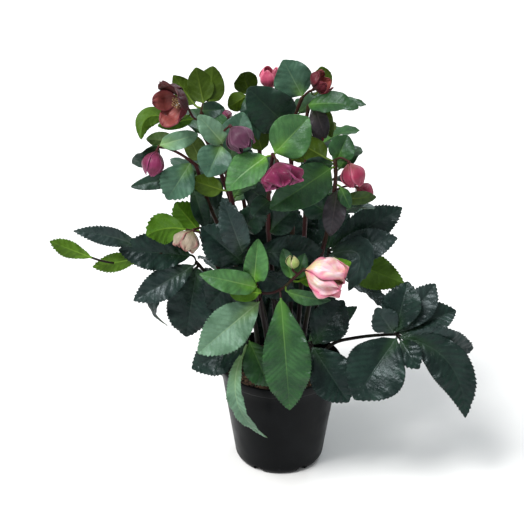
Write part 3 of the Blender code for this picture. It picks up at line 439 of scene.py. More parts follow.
@dataclass(frozen=True)
class StemFinish:
    """Smooth stems, wine-red to green higher up, and near black low down as painted shade under the foliage.
    """

    low: Colour
    high: Colour
    green: Colour
    name: str = "stem_skin"

    def made(self) -> bpy.types.Material:
        """Makes the material."""
        sheet = NodeSheet(self.name)
        split = sheet.add("ShaderNodeSeparateXYZ")
        sheet.feed(split.inputs[0], sheet.place())
        # Painted shade: below about 24 cm the colour fades to the near-black low colour, where the foliage
        # above shades the stems
        height = sheet.maths("MULTIPLY_ADD", sheet.grain(30.0, 2.0), 0.08, split.outputs[2])
        rise = sheet.step(height, 0.24, 0.40)
        patch = sheet.step(sheet.grain(38.0, 3.0), 0.44, 0.70)
        dots = sheet.step(sheet.cells(520.0).outputs["Distance"], 0.26, 0.16)
        colour = sheet.mix(rise, self.low, self.high)
        colour = sheet.tint(colour, patch, 0.55, self.green)
        colour = sheet.tint(colour, dots, 0.45, dimmed(self.low, 0.35))
        sheet.bump(sheet.grain(420.0, 2.0), 0.30, 0.0003)
        return sheet.finish(colour, sheet.step(patch, 0.0, 1.0, 0.44, 0.56), 0.14)


@dataclass(frozen=True)
class PetalFinish:
    """A petal's colours: its body, its inside, its veins, its margin and its foot."""

    name: str
    body: Colour
    inside: Colour
    vein: Colour
    margin: Colour
    foot: Colour
    patch: Optional[Colour] = None
    lined: float = 0.22
    blotch: float = 0.30
    flush: float = 0.30
    rim_start: float = 0.70
    rough: float = 0.46

    def made(self, face: Face) -> bpy.types.Material:
        """Makes the material of one face.

        Args:
            face: The face inside the cup is TOP and the one outside is UNDER.

        Returns:
            The material.
        """
        sheet = NodeSheet(self.name + "_" + ("inside" if face is Face.TOP else "outside"))
        _, along, across = sheet.chart()
        body = self.inside if face is Face.TOP else self.body
        out = sheet.maths("ABSOLUTE", across)
        wander = sheet.grain(160.0, 3.0)
        fan = sheet.maths("MULTIPLY_ADD", wander, 0.55, sheet.times(across, 4.6))
        off = sheet.maths("ABSOLUTE", sheet.maths("SUBTRACT", sheet.maths("FRACT", fan), 0.5))
        lines = sheet.times(sheet.step(off, 0.12, 0.0), sheet.step(along, 1.0, 0.35, 0.25, 1.0))
        ground = sheet.mix(sheet.step(along, 0.04, 0.34), self.foot, body)
        mottle = sheet.step(sheet.grain(95.0, 4.0), 0.34, 0.70)
        ground = sheet.tint(ground, mottle, self.blotch, self.patch or dimmed(body, 0.42))
        flush = sheet.step(sheet.grain(75.0, 3.0), 0.46, 0.72)
        ground = sheet.tint(ground, flush, self.flush, self.margin)
        rim = sheet.maths("MAXIMUM", sheet.step(out, self.rim_start, 0.98), sheet.step(along, 0.86, 1.0))
        ground = sheet.tint(ground, rim, 0.80, self.margin)
        colour = sheet.shaded(sheet.tint(ground, lines, self.lined, self.vein))
        height = sheet.maths("MULTIPLY_ADD", lines, -0.35, sheet.times(sheet.grain(500.0, 2.0), 0.30))
        height = sheet.maths("MULTIPLY_ADD", sheet.grain(150.0, 3.0), 1.3, height)
        sheet.bump(height, 0.55, 0.0006)
        sheet.shader.inputs["Sheen Weight"].default_value = 0.08
        return sheet.finish(colour, self.rough, 0.22)


@dataclass(frozen=True)
class PotFinish:
    """Thin black plastic with dust, faint scuffs and a soft sheen."""

    base: Colour = (0.0030, 0.0035, 0.0042)
    worn: Colour = (0.0078, 0.0090, 0.0104)
    dust: Colour = (0.10, 0.105, 0.11)

    def made(self) -> bpy.types.Material:
        """Makes the material."""
        sheet = NodeSheet("nursery_pot_plastic")
        patch = sheet.step(sheet.grain(22.0, 5.0), 0.45, 0.75)
        colour = sheet.tint(self.base, patch, 0.5, self.worn)
        small = sheet.step(sheet.cells(240.0).outputs["Distance"], 0.11, 0.06)
        few = sheet.step(sheet.grain(60.0, 2.0), 0.60, 0.72)
        colour = sheet.mix(sheet.times(small, few), colour, self.dust)
        ripple = sheet.maths("ADD", sheet.grain(900.0, 2.0), sheet.times(sheet.grain(30.0, 2.0), 1.5))
        sheet.bump(ripple, 0.22, 0.0003)
        return sheet.finish(colour, sheet.step(sheet.grain(45.0, 4.0), 0.3, 0.7, 0.28, 0.44), 0.07)


@dataclass(frozen=True)
class SoilFinish:
    """Moist peat and bark."""

    peat: Colour = (0.020, 0.013, 0.009)
    bark: Colour = (0.075, 0.048, 0.030)
    name: str = "potting_mix"

    def made(self) -> bpy.types.Material:
        """Makes the material."""
        sheet = NodeSheet(self.name)
        crumb = sheet.step(sheet.cells(380.0).outputs["Distance"], 0.1, 0.7)
        warm = sheet.step(sheet.grain(130.0, 6.0), 0.42, 0.68)
        colour = sheet.mix(warm, self.peat, self.bark)
        colour = sheet.tint(colour, crumb, 0.5, self.peat)
        sheet.bump(sheet.maths("SUBTRACT", sheet.grain(600.0, 5.0), crumb), 0.8, 0.0009)
        return sheet.finish(colour, 0.92, 0.25)


PETALS = {
    "burgundy": PetalFinish("petal_burgundy", (0.105, 0.006, 0.015), (0.270, 0.060, 0.052),
                            (0.030, 0.003, 0.007), (0.150, 0.016, 0.028), (0.045, 0.018, 0.012),
                            blotch=0.45, flush=0.20),
    "magenta": PetalFinish("petal_magenta", (0.145, 0.010, 0.049), (0.088, 0.006, 0.028),
                           (0.050, 0.003, 0.016), (0.300, 0.050, 0.150), (0.090, 0.012, 0.026), lined=0.10,
                           blotch=0.55, rough=0.38),
    "purple": PetalFinish("petal_purple", (0.098, 0.027, 0.062), (0.064, 0.014, 0.034),
                          (0.036, 0.008, 0.022), (0.200, 0.072, 0.135), (0.055, 0.014, 0.030), lined=0.14,
                          blotch=0.45),
    "pink": PetalFinish("petal_pink", (0.560, 0.075, 0.160), (0.520, 0.095, 0.165), (0.330, 0.018, 0.065),
                        (0.740, 0.230, 0.320), (0.400, 0.110, 0.110)),
    "rose": PetalFinish("petal_rose", (0.270, 0.022, 0.062), (0.200, 0.020, 0.045), (0.120, 0.006, 0.024),
                        (0.560, 0.130, 0.215), (0.150, 0.060, 0.030), lined=0.14, blotch=0.45),
    "cream": PetalFinish("petal_cream", (0.790, 0.580, 0.630), (0.640, 0.480, 0.400), (0.560, 0.150, 0.270),
                         (0.580, 0.075, 0.200), (0.480, 0.300, 0.120), patch=(0.600, 0.560, 0.220),
                         lined=0.40, blotch=0.62, flush=0.62, rim_start=0.46),
    "blush": PetalFinish("petal_blush", (0.370, 0.310, 0.230), (0.300, 0.240, 0.150), (0.250, 0.070, 0.080),
                         (0.340, 0.100, 0.110), (0.200, 0.230, 0.060), lined=0.50, blotch=0.45, flush=0.40),
    "green": PetalFinish("petal_green", (0.260, 0.360, 0.100), (0.200, 0.280, 0.070), (0.170, 0.260, 0.050),
                         (0.520, 0.420, 0.260), (0.140, 0.240, 0.030)),
}


def seen(across: float, down: float, depth: float) -> Vector:
    """Finds the point that the photograph shows at a pixel.

    Args:
        across: Pixels from the frame's left.
        down: Pixels from the frame's top.
        depth: The point's place along Y.

    Returns:
        The point.
    """
    right = (across - FRAME_MIDDLE) / EYE_REACH
    up = (FRAME_MIDDLE - down) / EYE_REACH
    level = math.cos(EYE_TILT) + up * math.sin(EYE_TILT)
    rise = -math.sin(EYE_TILT) + up * math.cos(EYE_TILT)
    ray = Vector((right, level, rise))
    return EYE + ray * ((depth - EYE.y) / ray.y)


def turned(vector: Vector, axis: Vector, degrees: float) -> Vector:
    """The vector turned about an axis."""
    return Matrix.Rotation(math.radians(degrees), 3, axis) @ vector


def chance(*keys: float) -> float:
    """A settled number from 0 to 1 for some keys, the same on every run."""
    mixed = sum(key * step for key, step in zip(keys, (12.9898, 78.233, 37.719, 9.151)))
    return (math.sin(mixed) * 43758.5453) % 1.0


def ease(value: float) -> float:
    """A smooth step from 0 to 1."""
    held = max(0.0, min(1.0, value))
    return held * held * (3 - 2 * held)


def turns(count: int) -> list[float]:
    """Evenly spaced angles that make one full turn."""
    return [2 * math.pi * k / count for k in range(count)]


def spoke(side: Vector, up: Vector, yaw: float) -> Vector:
    """The way out at an angle, from two ways across an axis."""
    return side * math.cos(yaw) + up * math.sin(yaw)


def closed(ring: list[int]) -> list[int]:
    """A ring of point numbers that ends in its first one."""
    return ring + ring[:1]


def kept(points: list[Vector], place: Vector) -> int:
    """Adds a point to a list and tells its number."""
    points.append(place)
    return len(points) - 1


def stitched(rib: list[tuple[float, int]], edge: list[tuple[float, int]], flip: bool) -> Faces:
    """Makes triangles between two rows that end in the same point.

    Args:
        rib: Marks and point numbers along the rib.
        edge: Marks and point numbers along the edge.
        flip: Whether the triangles face the other way.

    Returns:
        The triangles.
    """
    faces: Faces = []
    i = 0
    j = 0
    while i < len(rib) - 1 or j < len(edge) - 1:
        rib_next = rib[i + 1][0] if i < len(rib) - 1 else math.inf
        edge_next = edge[j + 1][0] if j < len(edge) - 1 else math.inf
        if rib_next <= edge_next:
            face = (rib[i][1], rib[i + 1][1], edge[j][1])
            i += 1
        else:
            face = (rib[i][1], edge[j + 1][1], edge[j][1])
            j += 1
        if len(set(face)) == 3:
            faces.append(face[::-1] if flip else face)
    return faces


class Skin:
    """One piece's points, faces, chart and finishes, gathered before its mesh is made."""

    def __init__(self, name: str) -> None:
        """Starts an empty skin for the piece of that name."""
        self.name = name
        self.points: list[Vector] = []
        self.chart: list[tuple[float, float]] = []
        self.shades: list[float] = []
        self.marks: list[float] = []
        self.faces: Faces = []
        self.finish_of: list[int] = []
        self.materials: list[bpy.types.Material] = []

    def point(self, place: Vector, along: float = 0.0, across: float = 0.0, shade: float = 1.0,
              mark: float = 0.0) -> int:
        """Adds a point.

        Args:
            place: Where it is.
            along: Its chart's way along.
            across: Its chart's way across.
            shade: How light its finish is.
            mark: How far it is from base to tip.

        Returns:
            Its number.
        """
        self.points.append(place)
        self.chart.append((along, across))
        self.shades.append(shade)
        self.marks.append(mark)
        return len(self.points) - 1

    def finish(self, material: bpy.types.Material) -> int:
        """The number of a material's place on this piece, which it is given if it has none."""
        if material not in self.materials:
            self.materials.append(material)
        return self.materials.index(material)

    def face(self, corners: Iterable[int], finish: int) -> None:
        """Adds a face, unless it has under three corners."""
        kept = tuple(dict.fromkeys(corners))
        if len(kept) > 2:
            self.faces.append(kept)
            self.finish_of.append(finish)

    def strip(self, first: list[int], second: list[int], finish: int, flip: bool = False) -> None:
        """Adds the faces between two rows of points.

        Args:
            first: One row's point numbers.
            second: The next row's.
            finish: The faces' finish number.
            flip: Whether they face the other way.
        """
        for i in range(len(first) - 1):
            corners = (first[i], first[i + 1], second[i + 1], second[i])
            self.face(corners[::-1] if flip else corners, finish)

    def drum(self, rings: list[list[int]], finish: int) -> None:
        """Adds the faces between closed rings of points, and one over each end.

        Args:
            rings: The rings, each ending in its first point.
            finish: The faces' finish number.
        """
        for first, second in zip(rings, rings[1:]):
            self.strip(first, second, finish)
        self.face(rings[0][:-1][::-1], finish)
        self.face(rings[-1][:-1], finish)

    def made(self, node: str, smooth: bool = True) -> bpy.types.Object:
        """Makes the piece, puts it in the place of its solid and lets it ride the body.

        Args:
            node: The solid that it replaces.
            smooth: Whether it is shaded smooth.

        Returns:
            The piece.
        """
        mesh = bpy.data.meshes.new(self.name)
        mesh.from_pydata([tuple(place) for place in self.points], [], self.faces)
        for material in self.materials:
            mesh.materials.append(material)
        mesh.polygons.foreach_set("material_index", self.finish_of)
        mesh.polygons.foreach_set("use_smooth", [smooth] * len(self.faces))
        layer = mesh.uv_layers.new(name="chart")
        spots = [0.0] * (2 * len(mesh.loops))
        corners = [0] * len(mesh.loops)
        mesh.loops.foreach_get("vertex_index", corners)
        for i, corner in enumerate(corners):
            spots[2 * i], spots[2 * i + 1] = self.chart[corner]
        layer.data.foreach_set("uv", spots)
        for name, values in (("shade", self.shades), ("mark", self.marks)):
            mesh.attributes.new(name, "FLOAT", "POINT").data.foreach_set("value", values)
        mesh.update()
        piece = bpy.data.objects.new(self.name, mesh)
        bpy.context.scene.collection.objects.link(piece)
        place_piece(piece, node)
        return piece


def place_piece(piece: bpy.types.Object, node: str) -> None:
    """Lets a finished piece stand for its solid and ride the body."""
    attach(piece, "root")
    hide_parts(node)


@dataclass
class Tube:
    """A stem, twig, leaf stalk or flower stalk, thick at its foot and thinner at its end."""

    route: list[Vector]
    foot: float
    end: float
    sides: int = 14
    step: float = 0.0022
    ease_in: float = 0.42
    ridge: float = 0.05
    swell: float = 0.22
    swell_reach: float = 0.0032
    knots: list[Vector] = field(default_factory=list)

    def radius(self, share: float) -> float:
        """The radius at a share of the route."""
        return self.foot + (self.end - self.foot) * share

    def nearest(self, point: Vector) -> Vector:
        """The point of the route that is nearest to a point."""
        best = self.route[0]
        for start, stop in zip(self.route, self.route[1:]):
            run = stop - start
            share = max(0.0, min(1.0, (point - start).dot(run) / run.length_squared))
            spot = start + run * share
            if (spot - point).length < (best - point).length:
                best = spot
        return best

    def outline(self) -> tuple[list[Vector], Faces]:
        """Makes the plain tube that its solid has, for finding what it would cross.

        Returns:
            Points and faces.
        """
        curve = bpy.data.curves.new("outline", "CURVE")
        curve.dimensions = "3D"
        curve.bevel_depth = 1.0
        curve.bevel_resolution = 1
        curve.use_fill_caps = True
        spline = curve.splines.new("POLY")
        spline.points.add(len(self.route) - 1)
        for i, spot in enumerate(self.route):
            spline.points[i].co = (*spot, 1.0)
            spline.points[i].radius = self.radius(i / (len(self.route) - 1))
        carrier = bpy.data.objects.new("outline", curve)
        mesh = carrier.to_mesh()
        found = mesh_facts(mesh)
        carrier.to_mesh_clear()
        bpy.data.objects.remove(carrier)
        bpy.data.curves.remove(curve)
        return found

    def rounded(self) -> list[tuple[Vector, float]]:
        """Rounds the route's corners and marks it every few millimetres.

        Returns:
            Points with the share of the route at each.
        """
        last = len(self.route) - 1
        rows: list[tuple[Vector, float]] = []
        for i in range(last):
            start, stop = self.route[i], self.route[i + 1]
            low = 0.0 if i == 0 else self.ease_in
            high = 1.0 if i == last - 1 else 1 - self.ease_in
            count = max(2, round((stop - start).length * (high - low) / self.step))
            for k in range(count + 1):
                share = low + (high - low) * k / count
                rows.append((start.lerp(stop, share), (i + share) / last))
            if i < last - 1:
                after = self.route[i + 2]
                enter, leave = start.lerp(stop, high), stop.lerp(after, self.ease_in)
                bend = max(3, round((leave - enter).length / self.step))
                for k in range(1, bend):
                    t = k / bend
                    spot = enter * (1 - t) ** 2 + stop * 2 * t * (1 - t) + leave * t * t
                    rows.append((spot, (i + high + (2 * self.ease_in) * t) / last))
        return rows

    def grow(self, skin: Skin, material: bpy.types.Material) -> None:
        """Adds the smooth tube to a skin, thicker where something leaves it.

        Args:
            skin: The piece's skin.
            material: The tube's finish.
        """
        finish = skin.finish(material)
        rows = self.rounded()
        side = Vector((1, 0, 0))
        along = 0.0
        rings: list[list[int]] = []
        for i, (spot, share) in enumerate(rows):
            ahead = rows[min(i + 1, len(rows) - 1)][0] - rows[max(i - 1, 0)][0]
            way = ahead.normalized()
            side = (side - way * side.dot(way)).normalized()
            other = way.cross(side)
            if i:
                along += (spot - rows[i - 1][0]).length
            away = min([(knot - spot).length for knot in self.knots], default=math.inf)
            swell = math.exp(-(away / self.swell_reach) ** 2)
            ring = []
            for k, yaw in enumerate(turns(self.sides)):
                stand = 1 + self.ridge * math.cos(5 * yaw + along * 60) + self.swell * swell
                place = spot + spoke(side, other, yaw) * self.radius(share) * stand
                ring.append(skin.point(place, along, yaw * 0.002, 0.9 + 0.2 * chance(i, k)))
            rings.append(closed(ring))
        tip = rows[-1][0]
        dome = (tip - rows[-2][0]).normalized() * self.end * 0.5
        inner = [skin.point(tip + (skin.points[k] - tip) * 0.6 + dome, along) for k in rings[-1][:-1]]
        skin.drum(rings + [closed(inner)], finish)


@dataclass
class Blade:
    """One leaf, bract or leaflet: a rib from base to tip with a half blade on each side of it."""

    tone: Tone
    base: Vector
    tip: Vector
    width: float
    facing: Vector
    saw: bool = False
    roll: float = 0.0
    arch: float = 0.06
    sweep: float = 0.0
    fold: float = 14.0
    twist: float = 0.0
    via: Optional[Vector] = None
    root: Optional[Vector] = None
    on: Optional[tuple[int, float]] = None
    sighted: bool = True
    length: float = 0.0
    side: Vector = field(default_factory=Vector)
    control: Vector = field(default_factory=Vector)

    def settle(self) -> None:
        """Works out the rib's curve and the blade's own directions."""
        chord = self.tip - self.base
        self.length = chord.length
        along = chord.normalized()
        side = along.cross(self.facing).normalized()
        self.side = turned(side, along, self.roll)
        top = self.side.cross(along)
        middle = (self.base + self.tip) / 2
        if self.via is None:
            bow = top * self.arch + self.side * self.sweep
            self.control = middle + bow * 2 * self.length
        else:
            self.control = self.via * 2 - middle + top * self.arch * 2 * self.length

    def rib(self, t: float) -> tuple[Vector, Vector]:
        """The rib's point and its direction at t, from 0 at the base to 1 at the tip."""
        spot = self.base * (1 - t) ** 2 + self.control * 2 * t * (1 - t) + self.tip * t * t
        way = (self.control - self.base) * (1 - t) + (self.tip - self.control) * t
        return spot, way.normalized()

    def half_width(self, t: float) -> float:
        """Half the blade's width: an egg shape for a bract, longer and narrow-footed for a leaflet."""
        if self.saw:
            full = math.sin(math.pi * min(t, 1.0) ** 1.05) ** 0.85
        else:
            full = math.sin(math.pi * min(t, 1.0) ** 0.80) ** 0.66
        return self.width / 2 * full

    def frame_at(self, t: float) -> tuple[Vector, Vector, Vector, Vector]:
        """The rib's point, the way along, the way across and the way up at t."""
        spot, way = self.rib(t)
        side = turned(self.side, way, self.twist * t)
        side = (side - way * side.dot(way)).normalized()
        return spot, way, side, side.cross(way)

    def point(self, t: float, across: float, wider: float = 0.0) -> Vector:
        """A point of the plain blade: across is -1 and 1 at its edges and 0 on its rib."""
        spot, _, side, top = self.frame_at(t)
        reach = max(NECK_WIDTH / 2 * (1 - t), self.half_width(t)) + wider
        lift = math.radians(self.fold)
        return spot + side * across * reach * math.cos(lift) + top * abs(across) * reach * math.sin(lift)

    def edge_marks(self) -> list[tuple[float, float]]:
        """Marks along the plain edge, as t and how far out."""
        if not self.saw:
            stops = next(stops for limit, stops in EDGE_STOPS if self.length < limit)
            return [(stop, 1.0) for stop in stops]
        teeth = max(3, round(self.length / TOOTH_STEP))
        marks = [(0.0, 1.0)]
        for i in range(teeth):
            marks.append(((i + 0.62) / teeth, 1.0 + TOOTH_DEPTH))
            marks.append(((i + 0.84) / teeth, 1.0 - TOOTH_DEPTH))
        marks[-1] = (1.0, 1.0)
        return marks

    def sheet(self, wider: float = 0.0, from_t: Optional[float] = None) -> tuple[list[Vector], Faces]:
        """Makes the plain surface that its solid has, for finding what it would cross.

        Args:
            wider: How much farther out its edges lie.
            from_t: Where it starts, when the part near the base is left out.

        Returns:
            Points and triangles.
        """
        self.settle()
        rib_marks = list(SHORT_RIB if self.length < LARGE_BLADE else LONG_RIB)
        edge_marks = self.edge_marks()
        start = -1.0
        if self.root is not None and (self.base - self.root).length < NECK_REACH:
            rib_marks = rib_marks[1:]
            edge_marks = edge_marks[1:]
        if from_t is not None:
            rib_marks = [from_t] + [t for t in rib_marks if t > from_t]
            edge_marks = [(from_t, 1.0)] + [mark for mark in edge_marks if mark[0] > from_t]
            start = from_t
        points: list[Vector] = []
        neck = self.root is not None and from_t is None
        rib = [(t, kept(points, self.point(t, 0.0))) for t in rib_marks]
        if neck:
            rib.insert(0, (start, kept(points, self.root)))
        faces: Faces = []
        for hand in (-1, 1):
            edge = []
            if neck:
                edge.append((start, kept(points, self.root + self.side * hand * (NECK_WIDTH / 2 + wider))))
            edge += [(t, kept(points, self.point(t, hand * out, wider))) for t, out in edge_marks[:-1]]
            edge.append(rib[-1])
            faces += stitched(rib, edge, hand > 0)
        return points, faces


@dataclass(frozen=True)
class LeafCut:
    """How a leaf is cut from its plain blade: teeth, veins, waves, rib and thickness, in metres."""

    half: tuple[float, ...] = (0.05, 0.13, 0.25, 0.38, 0.51, 0.64, 0.76, 0.87, 0.95, 1.0)
    thick: float = 0.00030
    neck_thick: float = 0.00095
    tooth: float = 0.0036
    tooth_out: float = 0.00125
    tooth_back: float = 0.70
    row: float = 0.0013
    neck_step: float = 0.0022
    neck_mark: float = -0.004
    round_power: float = 2.0
    vein_gap: float = 0.0072
    vein_sink: float = 0.00018
    rib_out: float = 0.00055
    wave: float = 0.0020
    tip_fall: float = 0.040

    def rows(self, blade: Blade) -> list[float]:
        """Marks along the blade: at each tooth's foot, back and point, closer together at both ends."""
        if blade.saw:
            teeth = max(6, round(blade.length / self.tooth))
            parts = (0.0, 0.36, self.tooth_back, 0.84)
            marks = [(i + part) / teeth for i in range(teeth) for part in parts]
            return marks + [1 - 0.3 / teeth, 1.0]
        count = max(16, round(blade.length / self.row))
        shares = [i / count for i in range(count + 1)]
        return [0.62 * share + 0.38 * (0.5 - 0.5 * math.cos(math.pi * share)) for share in shares]

    def reach(self, blade: Blade, t: float) -> float:
        """Half the leaf's width without its teeth: the plain blade's, with a soft foot and a pointed tip.

        Args:
            blade: The blade.
            t: The mark along it.

        Returns:
            The half width.
        """
        first = blade.edge_marks()[1][0]
        neck = NECK_WIDTH / 2
        if not blade.saw and t > 0.5:
            u = 2 * t - 1
            blunt = 0.10 + 0.36 * chance(blade.length * 1000, blade.width * 1000)
            pointed = (1 - blunt) * (1 - u) * (1 + 0.85 * u)
            return blade.half_width(0.5) * (blunt * math.sqrt(1 - u * u) + pointed)
        if t < first:
            u = t / first
            return neck + (blade.half_width(first) - neck) * u * (1.45 - 0.45 * u)
        return blade.half_width(t)

    def tooth_at(self, blade: Blade, t: float, hand: int, seed: float) -> float:
        """How far the edge stands out at a mark, for the tooth there.

        Args:
            blade: The blade.
            t: The mark.
            hand: Which edge.
            seed: The blade's own number.

        Returns:
            The distance.
        """
        teeth = max(6, round(blade.length / self.tooth))
        number, part = divmod(min(t, 0.9999) * teeth, 1.0)
        rise = (part / self.tooth_back) ** 1.3 if part < self.tooth_back else (1 - part) / 0.30
        big = self.tooth_out * (0.55 + 0.75 * chance(number, hand, seed))
        if not blade.saw:
            big *= 0.28 * ease((t - 0.35) / 0.3)
        return (rise - 0.45) * big * ease(t / 0.12) * ease((1 - t) / 0.06)

    def grow(self, skin: Skin, blade: Blade, top: int, under: int, neck: int, seed: float) -> None:
        """Adds the fine leaf to a skin as one closed surface.

        Args:
            skin: The piece's skin.
            blade: The blade, bent clear.
            top: Finish number of its upper face.
            under: Finish number of its lower face.
            neck: Finish number of its stalk.
            seed: The blade's own number.
        """
        blade.settle()
        shade = 0.82 + 0.36 * chance(seed, 3.1)
        marks = self.rows(blade)
        reach_back = (blade.base - blade.root).length
        steps = max(2, round(reach_back / self.neck_step))
        join = marks[2] if reach_back < NECK_REACH else 0.0
        joined, join_way, side, _ = blade.frame_at(join)
        bend = joined - join_way * 0.5 * (joined - blade.root).length
        last_top: Optional[list[int]] = None
        last_low: Optional[list[int]] = None
        for i in range(steps):
            s = i / steps
            spot = blade.root * (1 - s) ** 2 + bend * 2 * s * (1 - s) + joined * s * s
            way = ((bend - blade.root) * (1 - s) + (joined - bend) * s).normalized()
            across = (side - way * side.dot(way)).normalized()
            wide = NECK_WIDTH / 2 * (0.85 + 0.15 * s)
            above, below = self.section(skin, spot, way, across, across.cross(way), wide, self.neck_thick,
                                        self.round_power, self.neck_mark * (1 - s), 0.0, blade, seed, shade)
            if last_top:
                skin.strip(last_top, above, neck, flip=True)
                skin.strip(last_low, below, neck)
            else:
                skin.face(above + below[-2:0:-1], neck)
            last_top, last_low = above, below
        for t in marks:
            if join and t <= join:
                continue
            spot, way, across, over = blade.frame_at(t)
            if t >= 1.0:
                spot = spot - over * self.tip_fall * blade.length
                point = skin.point(spot, blade.length, 0.0, shade, 1.0)
                above = below = [point] * len(last_top)
            else:
                blend = ease(t / 0.14)
                thick = self.neck_thick + (self.thick - self.neck_thick) * blend
                power = self.round_power + 8.0 * blend
                above, below = self.section(skin, spot, way, across, over, self.reach(blade, t), thick,
                                            power, t, blend, blade, seed, shade)
            skin.strip(last_top, above, top, flip=True)
            skin.strip(last_low, below, under)
            last_top, last_low = above, below

    def section(self, skin: Skin, spot: Vector, way: Vector, across: Vector, over: Vector, wide: float,
                thick: float, power: float, t: float, blend: float, blade: Blade, seed: float,
                shade: float) -> tuple[list[int], list[int]]:
        """Adds one row of the leaf's section.

        Args:
            skin: The piece's skin.
            spot: The rib's point.
            way: The way along.
            across: The way across.
            over: The way up.
            wide: Half the width.
            thick: Half the thickness.
            power: How square the section's edge is.
            t: The mark along the blade.
            blend: 0 in the stalk and 1 in the blade.
            blade: The blade.
            seed: The blade's own number.
            shade: The blade's own shade.

        Returns:
            The upper row's and the lower row's point numbers, from edge to edge.
        """
        lift = math.radians(blade.fold)
        along = t * blade.length
        above: list[int] = []
        below: list[int] = []
        shares = [-share for share in reversed(self.half)] + [0.0] + list(self.half)
        droop = self.tip_fall * blade.length * ease((t - 0.55) / 0.45)
        for share in shares:
            size = abs(share)
            hand = 1 if share > 0 else -1
            stand = self.tooth_at(blade, t, hand, seed) * blend if blend else 0.0
            uneven = 1 + 0.06 * math.sin(2.1 * seed + 1.6 * hand + 3.0 * t) * blend
            full = wide * uneven + stand * ease((size - 0.75) / 0.25)
            out = size * wide
            cup = 1 + 0.30 * math.sin(3.3 * t + seed + hand)
            height = full * math.sin(lift) * blend * cup * (1.4 * size - 0.4 * size * size) - droop
            slant = along - VEIN_SLANT * out + 0.0016 * math.sin(along * 230 + seed + hand)
            phase = slant / self.vein_gap % 1.0
            vein = max(0.0, 1 - abs(phase - 0.5) / 0.14)
            plump = math.sin(math.pi * (phase + 0.5)) ** 2
            fade = blend * ease(size / 0.15) * ease((1.0 - size) / 0.25)
            long_wave = math.sin(along * 190 + seed * 5 + 2.0 * hand)
            ripple = long_wave + 0.45 * math.sin(along * 470 + seed * 3 - hand)
            ripple *= self.wave * size ** 2.2 * blend * min(1.0, wide / 0.012) * ease((1 - t) / 0.1)
            body = height + ripple + fade * (self.vein_sink * (1.3 * plump - 0.5))
            rib = math.exp(-(out / 0.0009) ** 2) * blend * (1 - 0.75 * max(t, 0.0))
            edge = max(0.0, 1 - size ** power) ** 0.5
            forward = way * stand * 0.9 * ease((size - 0.75) / 0.25)
            flat = spot + across * (hand * size * full * math.cos(lift * blend)) + forward
            mark = hand * out
            if size == 1.0:
                number = skin.point(flat + over * body, along, mark, shade, t)
                above.append(number)
                below.append(number)
                continue
            crease = fade * vein * self.vein_sink
            above.append(skin.point(flat + over * (body + thick * edge - 0.3 * self.rib_out * rib - crease),
                                    along, mark, shade, t))
            below.append(skin.point(flat + over * (body - thick * edge - self.rib_out * rib - crease),
                                    along, mark, shade, t))
        return above, below


@dataclass
class Bloom:
    """A bloom or bud: five petals in layers round an axis from its foot to its mouth."""

    foot: Vector
    mouth: Vector
    radius: float
    finish: str
    open: float = 0.2
    petals: int = 5
    turn: float = 0.0
    spread: float = 34.0
    layer: float = 0.0015
    inside: bool = False
    crumple: float = 1.0
    # Painted shade: how much darker a petal is made the more its middle points upwards
    upper_petal_painted_shade: float = 0.0

    def axes(self) -> tuple[Vector, Vector, Vector]:
        """The way from foot to mouth and two ways across it."""
        along = (self.mouth - self.foot).normalized()
        side = along.cross(Vector((0, 0, 1)))
        if side.length < 0.1:
            side = along.cross(Vector((0, 1, 0)))
        side.normalize()
        return along, side, along.cross(side)

    def half_angle(self, t: float) -> float:
        """Half the petal's angle round the axis, as its solid has it."""
        away = abs(2 * t - 1)
        return self.spread * ((1 - away ** 2.2) ** 0.8 if t < 0.5 else (1 - away ** 2.6) ** 0.7)

    def petal_point(self, petal: int, t: float, across: float, half: Optional[float] = None) -> Vector:
        """A point of a petal.

        Args:
            petal: Which petal.
            t: From 0 at the foot to 1 at its tip.
            across: From -1 to 1.
            half: Half the petal's angle there, where it isn't the solid's.

        Returns:
            The point.
        """
        along, side, up = self.axes()
        layer = PETAL_LAYERS[petal] * self.layer
        swell = math.sin(math.pi / 2 * min(1.0, t / 0.55)) ** 0.9
        late = max(0.0, (t - 0.55) / 0.45)
        ring = self.radius * swell * (1 + (self.open - 1) * late ** 1.6) + layer * min(1.0, t * 5)
        reach = self.half_angle(t) if half is None else half
        angle = math.radians(self.turn + 360.0 / self.petals * petal + across * reach)
        height = (self.mouth - self.foot).length * t
        return self.foot + along * height + spoke(side, up, angle) * ring

    def petal_sheet(self, petal: int) -> tuple[list[Vector], Faces]:
        """Makes a petal's plain surface, as its solid has it.

        Args:
            petal: Which petal.

        Returns:
            Points and triangles.
        """
        points: list[Vector] = []
        rib = [(t, kept(points, self.petal_point(petal, t, 0.0))) for t in PETAL_RIB]
        faces: Faces = []
        for hand in (-1, 1):
            edge = [rib[0]] + [(t, kept(points, self.petal_point(petal, t, hand))) for t in PETAL_EDGE]
            edge.append(rib[-1])
            faces += stitched(rib, edge, hand > 0)
        return points, faces


